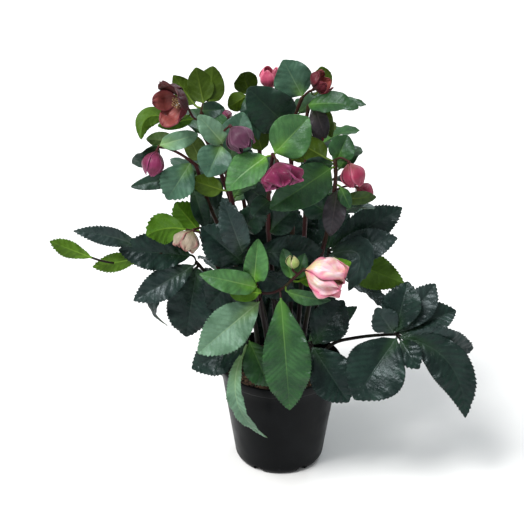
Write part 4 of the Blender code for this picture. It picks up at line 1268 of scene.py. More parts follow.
@dataclass(frozen=True)
class PetalCut:
    """How petals are cut: their rows, overlap, ruffles and thickness."""

    rows: int = 30
    columns: int = 22
    wider: float = 1.26
    thick: float = 0.00028
    ruffle: float = 0.0010

    def surface(self, bloom: Bloom, petal: int, t: float, across: float) -> Vector:
        """A point of the petal's middle surface, ruffled towards its margin.

        Args:
            bloom: The bloom.
            petal: Which petal.
            t: From 0 at the foot to 1 at its tip.
            across: From -1 to 1.

        Returns:
            The point.
        """
        along, _, _ = bloom.axes()
        half = self.wider * bloom.half_angle(t)
        if t < 0.5:
            half = 0.5 * half + 0.5 * self.wider * bloom.spread
        spot = bloom.petal_point(petal, t, across, half)
        centre = bloom.foot + along * (spot - bloom.foot).dot(along)
        out = spot - centre
        if out.length < 1e-7:
            return spot
        size = self.ruffle * bloom.radius / 0.018 * bloom.crumple
        wave = math.sin(7.0 * t + 2.3 * petal) * across ** 3
        wave += 0.6 * math.sin(11 * across + petal) * ease((t - 0.6) / 0.4)
        fold = 0.8 * math.sin(5.2 * across + 6.0 * t + 1.7 * petal)
        fold = fold * ease((t - 0.2) / 0.4) * (bloom.crumple - 1)
        crease = -0.35 * math.exp(-(across / 0.10) ** 2) * ease(t / 0.3)
        lean = 0.9 * max(0.0, across) ** 2 * (1 if petal % 2 else -1) / bloom.crumple
        flare = 1.2 * ease((t - 0.80) / 0.20) * ease((bloom.open - 0.3) / 0.3)
        return spot + out.normalized() * size * (wave + fold + crease + lean + flare) * ease(t / 0.25)

    def grow(self, skin: Skin, bloom: Bloom, petal: int, inside: int, outside: int) -> None:
        """Adds one petal to a skin as a closed surface.

        Args:
            skin: The piece's skin.
            bloom: The bloom.
            petal: Which petal.
            inside: Finish number inside the cup.
            outside: Finish number outside it.
        """
        along = bloom.axes()[0]
        shade = 0.86 + 0.28 * chance(petal, bloom.radius * 1000)
        out = bloom.petal_point(petal, 0.6, 0.0) - bloom.foot.lerp(bloom.mouth, 0.6)
        # Painted shade: upper petals are darkened and lower ones are left light
        shade *= 1 - bloom.upper_petal_painted_shade * ease(0.5 + 0.9 * out.normalized().z)
        last: Optional[tuple[list[int], list[int]]] = None
        for i in range(self.rows + 1):
            share = i / self.rows
            t = 0.5 - 0.5 * math.cos(math.pi * share)
            t = 0.5 * t + 0.5 * share
            if i in (0, self.rows):
                number = skin.point(self.surface(bloom, petal, t, 0.0), t, 0.0, shade)
                rows = ([number] * (self.columns + 1), [number] * (self.columns + 1))
            else:
                rows = self.pair(skin, bloom, petal, t, shade, along)
            if last:
                skin.strip(last[0], rows[0], outside)
                skin.strip(last[1], rows[1], inside, flip=True)
            last = rows

    def pair(self, skin: Skin, bloom: Bloom, petal: int, t: float, shade: float,
             along: Vector) -> tuple[list[int], list[int]]:
        """Adds a petal's outer and inner row at one mark.

        Args:
            skin: The piece's skin.
            bloom: The bloom.
            petal: Which petal.
            t: The mark.
            shade: The petal's own shade.
            along: The bloom's axis.

        Returns:
            The outer and the inner row's point numbers.
        """
        outer: list[int] = []
        inner: list[int] = []
        step = 0.01
        for k in range(self.columns + 1):
            across = -1 + 2 * k / self.columns
            spot = self.surface(bloom, petal, t, across)
            if k in (0, self.columns):
                number = skin.point(spot, t, across, shade)
                outer.append(number)
                inner.append(number)
                continue
            ahead = self.surface(bloom, petal, min(t + step, 1.0), across) - spot
            beside = self.surface(bloom, petal, t, across + step) - spot
            normal = beside.cross(ahead).normalized()
            middle = bloom.foot + along * (spot - bloom.foot).dot(along)
            if normal.dot(spot - middle) < 0:
                normal = -normal
            fat = self.thick * (1 - abs(across) ** 6) ** 0.5
            outer.append(skin.point(spot + normal * fat, t, across, shade))
            inner.append(skin.point(spot - normal * fat, t, across, shade))
        return outer, inner


@dataclass
class Plant:
    """A leafy stem or a basal leaf: its tubes and its blades."""

    name: str
    tubes: list[Tube] = field(default_factory=list)
    blades: list[Blade] = field(default_factory=list)

    def nearest(self, point: Vector) -> Vector:
        """The nearest point on any of its tubes."""
        return min((tube.nearest(point) for tube in self.tubes), key=lambda spot: (spot - point).length)

    def leaf(self, tone: Tone, base: Spot, tip: Spot, width: float, under: bool = False,
             via: Optional[Spot] = None, **shape: object) -> None:
        """Adds a blade between two points of the photograph, each given as across, down and depth.

        Args:
            tone: Its leaf tone.
            base: Where it starts.
            tip: Where it ends.
            width: Its greatest width.
            under: Whether the photograph shows its lower face.
            via: A point that its rib passes.
            **shape: Its other sizes.
        """
        start, stop = seen(*base), seen(*tip)
        facing = (EYE - (start + stop) / 2).normalized()
        if under:
            facing = -facing
        middle = seen(*via) if via is not None else None
        self.blades.append(Blade(tone, start, stop, width, facing, via=middle, **shape))

    def root_of(self, blade: Blade) -> Vector:
        """Where a blade grows from: a tube, or the rib of an earlier blade that it names with a share."""
        if blade.on is None:
            return self.nearest(blade.base)
        return self.blades[blade.on[0]].rib(blade.on[1])[0]

    def stalk(self, bloom: Bloom, *route: Spot, thick: float = 0.0011) -> None:
        """Adds a flower stalk from the plant to just short of a bloom's foot."""
        end = bloom.foot - bloom.axes()[0] * BLOOM_REACH
        points = [seen(*spot) for spot in route]
        first = self.nearest(points[0] if points else end)
        self.tubes.append(Tube([first] + points + [end], thick * 1.15, thick, sides=10))

    def twig(self, *route: Spot, foot: float = 0.0017, end: float = 0.0014) -> None:
        """Adds a twig from the nearest point of the plant through points of the photograph."""
        points = [seen(*spot) for spot in route]
        self.tubes.append(Tube([self.nearest(points[0])] + points, foot, end, sides=10))

    def whorl(self, tones: tuple[Tone, ...], share: float, count: int, start: float, length: float,
              width: float, rise: float = 10.0) -> None:
        """Adds a ring of blades round the main tube.

        Args:
            tones: Their leaf tones in turn.
            share: The share of the tube's route where they grow.
            count: How many.
            start: The first one's direction, in degrees.
            length: Their length.
            width: Their width.
            rise: How steeply they rise, in degrees.
        """
        route = self.tubes[0].route
        place = share * (len(route) - 1)
        step = min(int(place), len(route) - 2)
        spot = route[step].lerp(route[step + 1], place - step)
        for i in range(count):
            yaw = math.radians(start + 360.0 / count * i + 17.0 * math.sin(5 * i + start))
            reach = length * (1 + 0.16 * math.sin(3 * i + start))
            pitch = math.radians(rise + 12.0 * math.sin(4 * i + 2 * start))
            out = Vector((math.cos(yaw), math.sin(yaw), 0))
            way = out * math.cos(pitch) + Vector((0, 0, math.sin(pitch)))
            facing = Vector((0, 0, math.cos(pitch))) - out * math.sin(pitch)
            base = spot + way * 0.008
            tone = tones[i % len(tones)]
            self.blades.append(Blade(tone, base, base + way * reach, width, facing, sighted=False))

    def hand(self, centre: Vector, out: tuple[float, float], length: float, width: float,
             leaflets: int = 4, spread: float = 140.0, droop: float = 18.0) -> None:
        """Adds the leaflets of a basal leaf, fanned round its centre.

        Args:
            centre: Where they meet.
            out: The way that they fan towards.
            length: The middle ones' length.
            width: The middle ones' width.
            leaflets: How many.
            spread: The fan's angle, in degrees.
            droop: How steeply they hang, in degrees.
        """
        level = Vector((out[0], out[1], 0)).normalized()
        for i in range(leaflets):
            share = i / (leaflets - 1) - 0.5
            way = turned(level, Vector((0, 0, 1)), spread * share)
            pitch = math.radians(droop + 8.0 * math.cos(3 * i))
            way = way * math.cos(pitch) - Vector((0, 0, math.sin(pitch)))
            facing = Vector((0, 0, 1)) - way * way.z
            reach = length * (1 - 0.7 * share * share)
            base = centre + way * 0.005
            tone = Tone.SLATE if i % 2 else Tone.BASAL
            self.blades.append(Blade(tone, base, base + way * reach, width * reach / length, facing,
                                     saw=True, sighted=False))


def stem(name: str, crown: tuple[float, float], *route: object, foot: float = 0.0033,
         end: float = 0.0019) -> Plant:
    """Starts a plant whose main tube rises from the soil through points of the photograph.

    Args:
        name: Its node's name.
        crown: Where it leaves the soil.
        *route: Pixels with depths, or points.
        foot: Its radius at the foot.
        end: Its radius at the end.

    Returns:
        The plant.
    """
    x, y = crown
    ground = [Vector((x, y, SOIL_TOP - STEM_DEPTH)), Vector((x, y, SOIL_TOP + 0.006))]
    above = [spot if isinstance(spot, Vector) else seen(*spot) for spot in route]
    return Plant(name, [Tube(ground + above, foot, end)])


def stalked_leaf(name: str, crown: tuple[float, float], *route: object) -> Plant:
    """A basal leaf with only its own stalk yet."""
    return stem(name, crown, *route, foot=0.0024, end=0.0018)


def flowering_stems(blooms: dict[str, Bloom]) -> list[Plant]:
    """Lays out the leafy stems, front and sides as the photograph shows them, then the two behind.

    Args:
        blooms: The blooms that they carry.

    Returns:
        The stems.
    """
    far_left = stem("stem_far_left", (-0.016, 0.010), (268, 330, 0.002), (258, 290, -0.004),
                    (240, 225, -0.012), (216, 160, -0.022), (199, 124, -0.030), (204, 104, -0.026))
    far_left.stalk(blooms["bloom_open_burgundy"], (193, 119, -0.038))
    far_left.leaf(Tone.OLIVE, (194, 104, -0.018), (173, 75, -0.006), 0.024, under=True)
    far_left.leaf(Tone.OLIVE, (203, 102, -0.022), (196, 67, -0.010), 0.030, under=True)
    far_left.leaf(Tone.OLIVE, (209, 102, -0.020), (213, 66, -0.012), 0.033, under=True)
    far_left.leaf(Tone.DARK, (203, 111, -0.030), (225, 109, -0.040), 0.020, arch=0.12)
    far_left.leaf(Tone.LIME, (192, 119, -0.026), (157, 126, -0.036), 0.017, under=True)
    far_left.leaf(Tone.GREEN, (167, 118, -0.028), (141, 140, -0.044), 0.022, under=True,
                  via=(147, 118, -0.034))
    far_left.leaf(Tone.DARK, (222, 178, -0.014), (196, 212, -0.012), 0.034, saw=True)
    far_left.whorl((Tone.GREEN,), 0.80, 1, 110, 0.050, 0.036, rise=18)
    far_left.whorl((Tone.SAGE,), 0.62, 1, 75, 0.054, 0.038)

    left = stem("stem_left", (-0.026, -0.004), (257, 330, -0.010), (246, 290, -0.020),
                (222, 235, -0.035), (206, 197, -0.042), (196, 165, -0.047))
    left.twig((184, 156, -0.050), (171, 149, -0.055), (159, 146, -0.060))
    left.stalk(blooms["bud_magenta"], thick=0.0010)
    left.leaf(Tone.DARK, (158, 146, -0.057), (132, 165, -0.054), 0.023, arch=0.08)
    left.leaf(Tone.MINT, (161, 145, -0.062), (199, 134, -0.052), 0.020, arch=0.14)
    left.leaf(Tone.SLATE, (174, 141, -0.052), (146, 139, -0.060), 0.019, under=True)
    left.leaf(Tone.MINT, (200, 160, -0.040), (188, 134, -0.030), 0.024, under=True)
    left.leaf(Tone.SAGE, (190, 164, -0.052), (167, 200, -0.066), 0.040, saw=True)
    left.leaf(Tone.DARK, (196, 172, -0.036), (130, 187, -0.046), 0.020)
    left.leaf(Tone.DARK, (194, 190, -0.046), (206, 229, -0.046), 0.020)
    left.whorl((Tone.SAGE,), 0.88, 1, 120, 0.048, 0.034, rise=14)
    left.whorl((Tone.DARK,), 0.66, 1, 95, 0.054, 0.038, rise=4)

    purple = stem("stem_purple_bud", (-0.010, -0.014), (268, 335, -0.022), (258, 300, -0.033),
                  (243, 245, -0.047), (233, 205, -0.055), (226, 172, -0.062), (222, 148, -0.066))
    purple.stalk(blooms["bud_purple"], (218, 136, -0.062))
    purple.leaf(Tone.SAGE, (221, 146, -0.069), (207, 177, -0.086), 0.038, arch=0.02)
    purple.leaf(Tone.MINT, (223, 143, -0.068), (198, 115, -0.066), 0.026, fold=24)
    purple.leaf(Tone.SAGE, (228, 166, -0.050), (243, 112, -0.038), 0.042, arch=0.02)
    purple.leaf(Tone.DARK, (231, 176, -0.058), (252, 150, -0.062), 0.024)
    purple.leaf(Tone.OLIVE, (222, 190, -0.056), (191, 180, -0.058), 0.024, under=True)
    purple.leaf(Tone.DARK, (240, 232, -0.054), (266, 206, -0.062), 0.032, saw=True)
    purple.whorl((Tone.GREEN,), 0.74, 1, 80, 0.046, 0.032, rise=6)

    back = stem("stem_back_middle", (-0.004, 0.014), (276, 325, 0.014), (272, 270, 0.014),
                (266, 215, 0.014), (261, 165, 0.016), (257, 125, 0.020), (252, 98, 0.020))
    back.stalk(blooms["bloom_pink"], (262, 104, 0.028))
    back.leaf(Tone.OLIVE, (250, 94, 0.018), (242, 72, 0.010), 0.028, under=True)
    back.leaf(Tone.OLIVE, (246, 96, 0.012), (228, 108, 0.000), 0.022, under=True)
    back.leaf(Tone.DARK, (246, 98, 0.006), (258, 141, -0.014), 0.024, via=(254, 112, -0.006), roll=20)
    back.leaf(Tone.OLIVE, (262, 150, 0.012), (252, 118, -0.004), 0.032, under=True)
    back.leaf(Tone.DARK, (265, 200, 0.010), (244, 184, -0.010), 0.034)
    back.whorl((Tone.SAGE,), 0.86, 1, 85, 0.050, 0.036, rise=16)
    back.whorl((Tone.GREEN,), 0.66, 1, 125, 0.056, 0.040, rise=6)

    round_leaf = stem("stem_round_leaf", (0.010, 0.016), (290, 325, 0.016), (292, 260, 0.012),
                      (293, 200, 0.010), (291, 155, 0.010), (290, 128, 0.010), (296, 112, 0.008),
                      (302, 98, 0.004))
    round_leaf.stalk(blooms["cup_burgundy"], (308, 92, 0.000))
    round_leaf.leaf(Tone.SAGE, (302, 95, 0.006), (283, 60, 0.000), 0.044, arch=0.02, fold=6)
    round_leaf.leaf(Tone.OLIVE, (318, 91, 0.016), (321, 66, 0.020), 0.024, under=True, sweep=-0.12)
    round_leaf.leaf(Tone.DARK, (285, 124, 0.004), (248, 88, -0.012), 0.052, arch=0.05)
    round_leaf.leaf(Tone.OLIVE, (292, 160, 0.006), (318, 137, 0.000), 0.026, under=True)
    round_leaf.whorl((Tone.GREEN,), 0.84, 1, 55, 0.048, 0.036, rise=20)
    round_leaf.whorl((Tone.DARK,), 0.62, 1, 70, 0.054, 0.038, rise=4)

    long_pair = stem("stem_long_pair", (0.016, 0.003), (298, 330, 0.000), (303, 260, -0.004),
                     (306, 200, -0.006), (306, 150, -0.008), (306, 120, -0.010), (309, 105, -0.014))
    long_pair.leaf(Tone.GREEN, (310, 104, -0.014), (367, 103, -0.008), 0.032, roll=-50, arch=0.10)
    long_pair.leaf(Tone.GREEN, (309, 105, -0.018), (359, 107, -0.034), 0.028, roll=-35, arch=0.08)
    long_pair.leaf(Tone.PLUM, (313, 108, -0.012), (322, 150, -0.006), 0.013, roll=30)
    long_pair.leaf(Tone.PLUM, (315, 108, -0.016), (326, 139, -0.022), 0.021)
    long_pair.leaf(Tone.OLIVE, (320, 108, -0.010), (332, 137, 0.000), 0.019, under=True)
    long_pair.leaf(Tone.GREEN, (307, 190, -0.008), (326, 160, -0.006), 0.032)
    long_pair.whorl((Tone.SAGE,), 0.76, 1, 62, 0.050, 0.036, rise=12)
    long_pair.whorl((Tone.GREEN,), 0.55, 1, 48, 0.052, 0.038, rise=2)

    magenta = stem("stem_magenta_bloom", (0.004, -0.012), (281, 335, -0.024), (275, 295, -0.042),
                   (269, 245, -0.048), (268, 205, -0.066), (270, 172, -0.080), (273, 154, -0.086))
    magenta.stalk(blooms["bloom_magenta"], thick=0.0012)
    magenta.leaf(Tone.SPRING, (276, 152, -0.088), (309, 117, -0.082), 0.047, arch=0.03)
    magenta.leaf(Tone.SPRING, (266, 157, -0.088), (226, 190, -0.104), 0.040, arch=0.05)
    magenta.leaf(Tone.DARK, (269, 200, -0.070), (252, 216, -0.074), 0.024)
    magenta.leaf(Tone.DARK, (269, 232, -0.056), (298, 206, -0.060), 0.036, saw=True)

    right = stem("stem_right", (0.026, -0.008), (304, 330, -0.016), (312, 290, -0.026),
                 (324, 245, -0.036), (333, 205, -0.044), (336, 178, -0.046), (335, 160, -0.046))
    right.stalk(blooms["bud_pinkish"], (341, 157, -0.050))
    right.stalk(blooms["bud_red"], (345, 186, -0.032))
    right.leaf(Tone.GREEN, (330, 169, -0.052), (270, 209, -0.092), 0.044, arch=0.06)
    right.leaf(Tone.DARK, (332, 164, -0.048), (297, 170, -0.062), 0.022, roll=-30)
    right.leaf(Tone.GREEN, (337, 160, -0.044), (348, 135, -0.036), 0.032, fold=22)
    right.leaf(Tone.OLIVE, (326, 158, -0.034), (296, 141, -0.026), 0.028, under=True)
    right.leaf(Tone.GREEN, (341, 188, -0.052), (350, 208, -0.062), 0.015)
    right.leaf(Tone.OLIVE, (344, 199, -0.046), (377, 197, -0.042), 0.016)
    right.leaf(Tone.PLUM, (337, 192, -0.050), (330, 237, -0.064), 0.026)
    right.leaf(Tone.DARK, (330, 214, -0.040), (300, 196, -0.040), 0.036, saw=True)
    right.whorl((Tone.GREEN,), 0.90, 1, 60, 0.046, 0.034, rise=12)
    right.whorl((Tone.SAGE,), 0.68, 1, 30, 0.052, 0.036)

    front = stem("stem_front", (-0.010, -0.030), (268, 345, -0.042), (263, 318, -0.052),
                 (260, 298, -0.062), (256, 284, -0.068))
    front.twig((270, 294, -0.070), (283, 289, -0.077), (293, 279, -0.082))
    front.stalk(blooms["bud_pale"], thick=0.0013)
    front.stalk(blooms["bud_green"], thick=0.0010)
    front.leaf(Tone.SPRING, (254, 282, -0.072), (258, 239, -0.072), 0.030, fold=24)
    front.leaf(Tone.SPRING, (256, 287, -0.074), (199, 274, -0.088), 0.028, arch=0.10)
    front.leaf(Tone.LIME, (259, 293, -0.076), (228, 290, -0.092), 0.025, under=True)
    front.leaf(Tone.GREEN, (292, 278, -0.078), (283, 248, -0.072), 0.018)
    front.leaf(Tone.GREEN, (297, 278, -0.080), (305, 253, -0.074), 0.017)
    front.leaf(Tone.LIME, (300, 281, -0.076), (352, 262, -0.072), 0.028, under=True)
    front.leaf(Tone.GREEN, (288, 292, -0.086), (331, 301, -0.104), 0.017, roll=25)
    front.leaf(Tone.MINT, (258, 303, -0.070), (197, 354, -0.106), 0.050, saw=True, arch=0.10)
    front.leaf(Tone.GREEN, (281, 300, -0.084), (290, 412, -0.104), 0.056, saw=True, arch=0.04)

    low_left = stem("stem_low_left", (-0.032, -0.020), (247, 335, -0.030), (235, 300, -0.038),
                    (215, 262, -0.047), (201, 236, -0.052))
    low_left.stalk(blooms["bloom_cream"], (202, 227, -0.062), thick=0.0012)
    low_left.leaf(Tone.LIME, (184, 229, -0.054), (146, 236, -0.064), 0.036, under=True, saw=True,
                  sweep=-0.10)
    low_left.leaf(Tone.LIME, (198, 230, -0.050), (175, 202, -0.048), 0.032, under=True, saw=True)

    back_left = stem("stem_back_left", (-0.012, 0.027), Vector((-0.022, 0.040, 0.20)),
                     Vector((-0.042, 0.062, 0.30)), Vector((-0.052, 0.080, 0.365)),
                     Vector((-0.054, 0.088, 0.395)))
    back_left.stalk(blooms["bud_back_left"])
    back_left.whorl((Tone.SAGE, Tone.GREEN, Tone.DARK), 0.96, 3, 40, 0.050, 0.038)
    back_left.whorl((Tone.GREEN, Tone.DARK, Tone.SAGE), 0.72, 3, 100, 0.056, 0.040)
    back_left.whorl((Tone.DARK, Tone.SAGE, Tone.GREEN), 0.58, 3, 40, 0.058, 0.042, rise=6)

    back_right = stem("stem_back_right", (0.018, 0.029), Vector((0.028, 0.046, 0.20)),
                      Vector((0.040, 0.068, 0.29)), Vector((0.046, 0.086, 0.350)),
                      Vector((0.044, 0.094, 0.378)))
    back_right.stalk(blooms["bud_back_right"])
    back_right.whorl((Tone.GREEN, Tone.SAGE, Tone.DARK), 0.96, 3, 10, 0.050, 0.038)
    back_right.whorl((Tone.DARK, Tone.GREEN, Tone.SAGE), 0.72, 3, -40, 0.056, 0.040)
    back_right.whorl((Tone.SAGE,), 0.60, 1, 0, 0.058, 0.042, rise=8)
    back_right.whorl((Tone.GREEN,), 0.56, 1, 80, 0.058, 0.042, rise=4)
    return [far_left, left, purple, back, round_leaf, long_pair, magenta, right, front, low_left,
            back_left, back_right]


def basal_leaves() -> list[Plant]:
    """Lays out the saw-edged leaves that rise from the crown on their own stalks.

    Returns:
        The leaves.
    """
    right = stalked_leaf("leaf_right", (0.040, -0.012), (330, 342, -0.026), (366, 336, -0.044),
                         (396, 334, -0.058))
    right.leaf(Tone.SLATE, (393, 332, -0.060), (376, 308, -0.058), 0.034, saw=True)
    right.leaf(Tone.BASAL, (396, 331, -0.060), (408, 281, -0.044), 0.046, saw=True)
    right.leaf(Tone.SLATE, (399, 331, -0.056), (436, 283, -0.026), 0.038, saw=True)
    right.leaf(Tone.BASAL, (400, 333, -0.056), (457, 310, -0.036), 0.042, saw=True)
    right.leaf(Tone.SLATE, (401, 336, -0.060), (475, 349, -0.056), 0.046, saw=True)
    right.leaf(Tone.BASAL, (402, 338, -0.064), (466, 419, -0.100), 0.048, saw=True, via=(448, 362, -0.074))
    right.leaf(Tone.BASAL, (396, 339, -0.066), (354, 400, -0.104), 0.072, saw=True, arch=0.06)
    right.leaf(Tone.BASAL, (401, 341, -0.064), (419, 369, -0.080), 0.030, saw=True)

    upper = stalked_leaf("leaf_upper_right", (0.036, 0.006), (312, 330, 0.004), (320, 290, -0.006),
                         (329, 252, -0.016))
    upper.leaf(Tone.BASAL, (332, 248, -0.016), (403, 207, 0.000), 0.042, saw=True)
    upper.leaf(Tone.SLATE, (333, 250, -0.020), (398, 238, -0.024), 0.038, saw=True)
    upper.leaf(Tone.GREEN, (333, 254, -0.018), (405, 284, -0.030), 0.044, under=True, saw=True)
    upper.leaf(Tone.SLATE, (331, 255, -0.024), (348, 291, -0.058), 0.040, saw=True, via=(360, 256, -0.036))
    upper.leaf(Tone.BASAL, (328, 248, -0.010), (340, 202, 0.010), 0.040, saw=True)

    left = stalked_leaf("leaf_left", (-0.043, -0.004), (241, 330, -0.010), (222, 290, -0.024),
                        (196, 262, -0.036))
    left.leaf(Tone.BASAL, (190, 255, -0.040), (118, 250, -0.056), 0.044, saw=True)
    left.leaf(Tone.SLATE, (138, 246, -0.050), (73, 231, -0.066), 0.022, saw=True, on=(0, 0.4),
              via=(108, 236, -0.056))
    left.leaf(Tone.GREEN, (140, 258, -0.054), (92, 267, -0.066), 0.022, under=True, saw=True, on=(0, 0.4))
    left.leaf(Tone.GREEN, (90, 257, -0.068), (49, 241, -0.078), 0.020, under=True, saw=True, on=(2, 0.55))
    left.leaf(Tone.SLATE, (193, 266, -0.044), (133, 301, -0.078), 0.036, saw=True)
    left.leaf(Tone.BASAL, (197, 268, -0.040), (186, 338, -0.056), 0.058, saw=True)
    left.leaf(Tone.BASAL, (192, 270, -0.036), (166, 328, -0.040), 0.018, via=(158, 300, -0.040), roll=40)

    front_left = stalked_leaf("leaf_front_left", (-0.022, -0.038), (253, 362, -0.050), (248, 344, -0.068))
    front_left.leaf(Tone.GREEN, (250, 342, -0.072), (269, 387, -0.084), 0.042, saw=True)
    front_left.leaf(Tone.BASAL, (245, 343, -0.074), (191, 369, -0.082), 0.042, saw=True)
    front_left.leaf(Tone.MINT, (246, 346, -0.076), (267, 441, -0.084), 0.020, saw=True,
                    via=(239, 396, -0.096), roll=25)

    front_right = stalked_leaf("leaf_front_right", (0.012, -0.038), (300, 362, -0.050), (311, 346, -0.060))
    front_right.leaf(Tone.BASAL, (313, 348, -0.064), (349, 403, -0.092), 0.054, saw=True)
    front_right.leaf(Tone.BASAL, (314, 343, -0.060), (344, 300, -0.046), 0.046, saw=True)
    front_right.leaf(Tone.DARK, (310, 340, -0.056), (358, 306, -0.040), 0.024)

    middle = stalked_leaf("leaf_middle", (-0.020, -0.021), (258, 345, -0.036), (252, 300, -0.052),
                          (248, 264, -0.062))
    middle.leaf(Tone.BASAL, (243, 262, -0.066), (201, 227, -0.078), 0.050, saw=True)
    middle.leaf(Tone.BASAL, (252, 253, -0.056), (324, 251, -0.058), 0.038, saw=True, arch=0.16)
    middle.leaf(Tone.SLATE, (244, 256, -0.066), (222, 197, -0.074), 0.032, saw=True)
    middle.leaf(Tone.BASAL, (251, 268, -0.064), (296, 302, -0.066), 0.040, saw=True)
    middle.leaf(Tone.BASAL, (243, 268, -0.064), (207, 308, -0.068), 0.050, saw=True)

    inner = stalked_leaf("leaf_inner", (-0.002, 0.034), (276, 320, 0.036), (274, 282, 0.038))
    inner.leaf(Tone.BASAL, (271, 279, 0.036), (214, 246, 0.026), 0.054, saw=True)
    inner.leaf(Tone.BASAL, (273, 277, 0.038), (246, 214, 0.038), 0.056, saw=True)
    inner.leaf(Tone.BASAL, (275, 277, 0.038), (296, 206, 0.040), 0.060, saw=True)
    inner.leaf(Tone.BASAL, (277, 280, 0.036), (334, 232, 0.036), 0.056, saw=True)
    inner.leaf(Tone.BASAL, (278, 284, 0.034), (336, 300, 0.026), 0.056, saw=True)
    inner.leaf(Tone.BASAL, (271, 285, 0.034), (216, 312, 0.024), 0.056, saw=True)
    inner.leaf(Tone.BASAL, (276, 278, 0.040), (318, 212, 0.046), 0.046, saw=True)
    inner.leaf(Tone.BASAL, (273, 289, 0.040), (262, 339, 0.050), 0.040, saw=True)
    inner.leaf(Tone.BASAL, (277, 289, 0.040), (313, 339, 0.050), 0.044, saw=True)

    hidden = []
    for name, crown, elbow, centre, out, length, width in BACK_LEAVES:
        plant = stalked_leaf(name, crown, Vector(elbow), Vector(centre))
        plant.hand(Vector(centre), out, length, width)
        hidden.append(plant)
    return [right, upper, left, front_left, front_right, middle, inner] + hidden


def blooms_and_buds() -> dict[str, Bloom]:
    """Lays out every bloom and bud, from its foot to its mouth.

    Returns:
        The blooms by node.
    """
    return {
        # The open burgundy bloom's upper petals carry painted shade
        "bloom_open_burgundy": Bloom(seen(184, 101, -0.042), seen(166, 106, -0.060), 0.0180, "burgundy",
                                     open=1.15, inside=True, crumple=1.5, upper_petal_painted_shade=0.62),
        "bud_magenta": Bloom(seen(157, 151, -0.062), seen(151, 176, -0.068), 0.0100, "magenta", open=0.22),
        "bud_purple": Bloom(seen(231, 127, -0.076), seen(247, 149, -0.086), 0.0132, "purple", open=0.55,
                            turn=30, crumple=1.6),
        "bloom_pink": Bloom(seen(270, 89, 0.034), seen(270, 68, 0.034), 0.0110, "pink", open=0.55,
                            inside=True, crumple=1.4),
        "cup_burgundy": Bloom(seen(314, 89, -0.002), seen(327, 79, -0.006), 0.0118, "burgundy", open=0.70,
                              turn=14, inside=True, crumple=1.5),
        "bloom_magenta": Bloom(seen(277, 162, -0.098), seen(284, 187, -0.108), 0.0185, "magenta", open=0.60,
                               turn=20, inside=True, crumple=3.0),
        "bud_pinkish": Bloom(seen(349, 163, -0.054), seen(356, 187, -0.060), 0.0118, "rose", open=0.35,
                             crumple=1.4),
        "bud_red": Bloom(seen(356, 187, -0.028), seen(370, 198, -0.032), 0.0092, "rose", open=0.35),
        "bud_pale": Bloom(seen(305, 270, -0.090), seen(344, 283, -0.104), 0.0185, "cream", open=0.45,
                          turn=10, crumple=3.0),
        "bud_green": Bloom(seen(293, 269, -0.084), seen(292, 256, -0.082), 0.0062, "green", open=0.3,
                           petals=4),
        "bloom_cream": Bloom(seen(193, 231, -0.072), seen(184, 250, -0.080), 0.0125, "blush", open=0.6,
                             inside=True, crumple=2.0),
        "bud_back_left": Bloom(Vector((-0.061, 0.104, 0.404)), Vector((-0.070, 0.120, 0.388)), 0.0110,
                               "magenta", open=0.4),
        "bud_back_right": Bloom(Vector((0.049, 0.110, 0.387)), Vector((0.057, 0.126, 0.371)), 0.0120,
                                "burgundy", open=0.6, inside=True),
    }


class Thicket:
    """Remembers the surfaces that have been placed, so that the next blade is bent clear of them."""

    def __init__(self) -> None:
        """Starts with nothing placed."""
        self.placed: list[Surface] = []

    def add(self, node: str, points: list[Vector], faces: Faces) -> None:
        """Remembers one surface of a node."""
        tree = BVHTree.FromPolygons(points, faces)
        self.placed.append((node, low_corner(points), high_corner(points), tree))

    def near(self, points: list[Vector], reach: float) -> list[Surface]:
        """What has been placed within a reach of some points."""
        low = low_corner(points) - Vector((reach, reach, reach))
        high = high_corner(points) + Vector((reach, reach, reach))
        return [row for row in self.placed
                if all(row[1][i] < high[i] and low[i] < row[2][i] for i in range(3))]

    def crossings(self, node: str, blade: Blade, near: list[Surface]) -> int:
        """Counts how many faces of a blade, made fat by the clearance, cross what is near.

        Args:
            node: The blade's node.
            blade: The blade.
            near: The surfaces to test.

        Returns:
            The count.
        """
        whole = BVHTree.FromPolygons(*fattened(*blade.sheet(wider=CLEARANCE)))
        outer = BVHTree.FromPolygons(*fattened(*blade.sheet(wider=CLEARANCE, from_t=0.3)))
        return sum(len((outer if other == node else whole).overlap(tree)) for other, _, _, tree in near)


def low_corner(points: list[Vector]) -> Vector:
    """The least x, y and z of some points."""
    return Vector([min(point[i] for point in points) for i in range(3)])


def high_corner(points: list[Vector]) -> Vector:
    """The greatest x, y and z of some points."""
    return Vector([max(point[i] for point in points) for i in range(3)])


def fattened(points: list[Vector], faces: Faces) -> tuple[list[Vector], Faces]:
    """Lays a copy of a surface on either side of it, one blade and one clearance away.

    Args:
        points: The surface's points.
        faces: Its triangles.

    Returns:
        All three layers' points and triangles.
    """
    normals = [Vector() for _ in points]
    for a, b, c in faces:
        normal = (points[b] - points[a]).cross(points[c] - points[a])
        for index in (a, b, c):
            normals[index] += normal
    shifts = [normal.normalized() * (BLADE_THICK + CLEARANCE) for normal in normals]
    count = len(points)
    layers = [point + shift * way for way in (0, 1, -1) for point, shift in zip(points, shifts)]
    return layers, [tuple(index + count * layer for index in face) for layer in range(3) for face in faces]


def bends() -> list[Bend]:
    """Lists ways to bend a blade clear, the smallest first.

    Returns:
        Rows of effort, tip shift, base shift, roll and arch.
    """
    rows = []
    for tip, base, roll, arch in product(TIP_SHIFTS, BASE_SHIFTS, ROLLS, ARCHES):
        effort = abs(tip) / 8 + abs(base) / 4 + abs(roll) / 16 + abs(arch) / 0.08
        rows.append((effort, tip / 1000, base / 1000, roll, arch))
    return sorted(rows, key=lambda row: row[0])


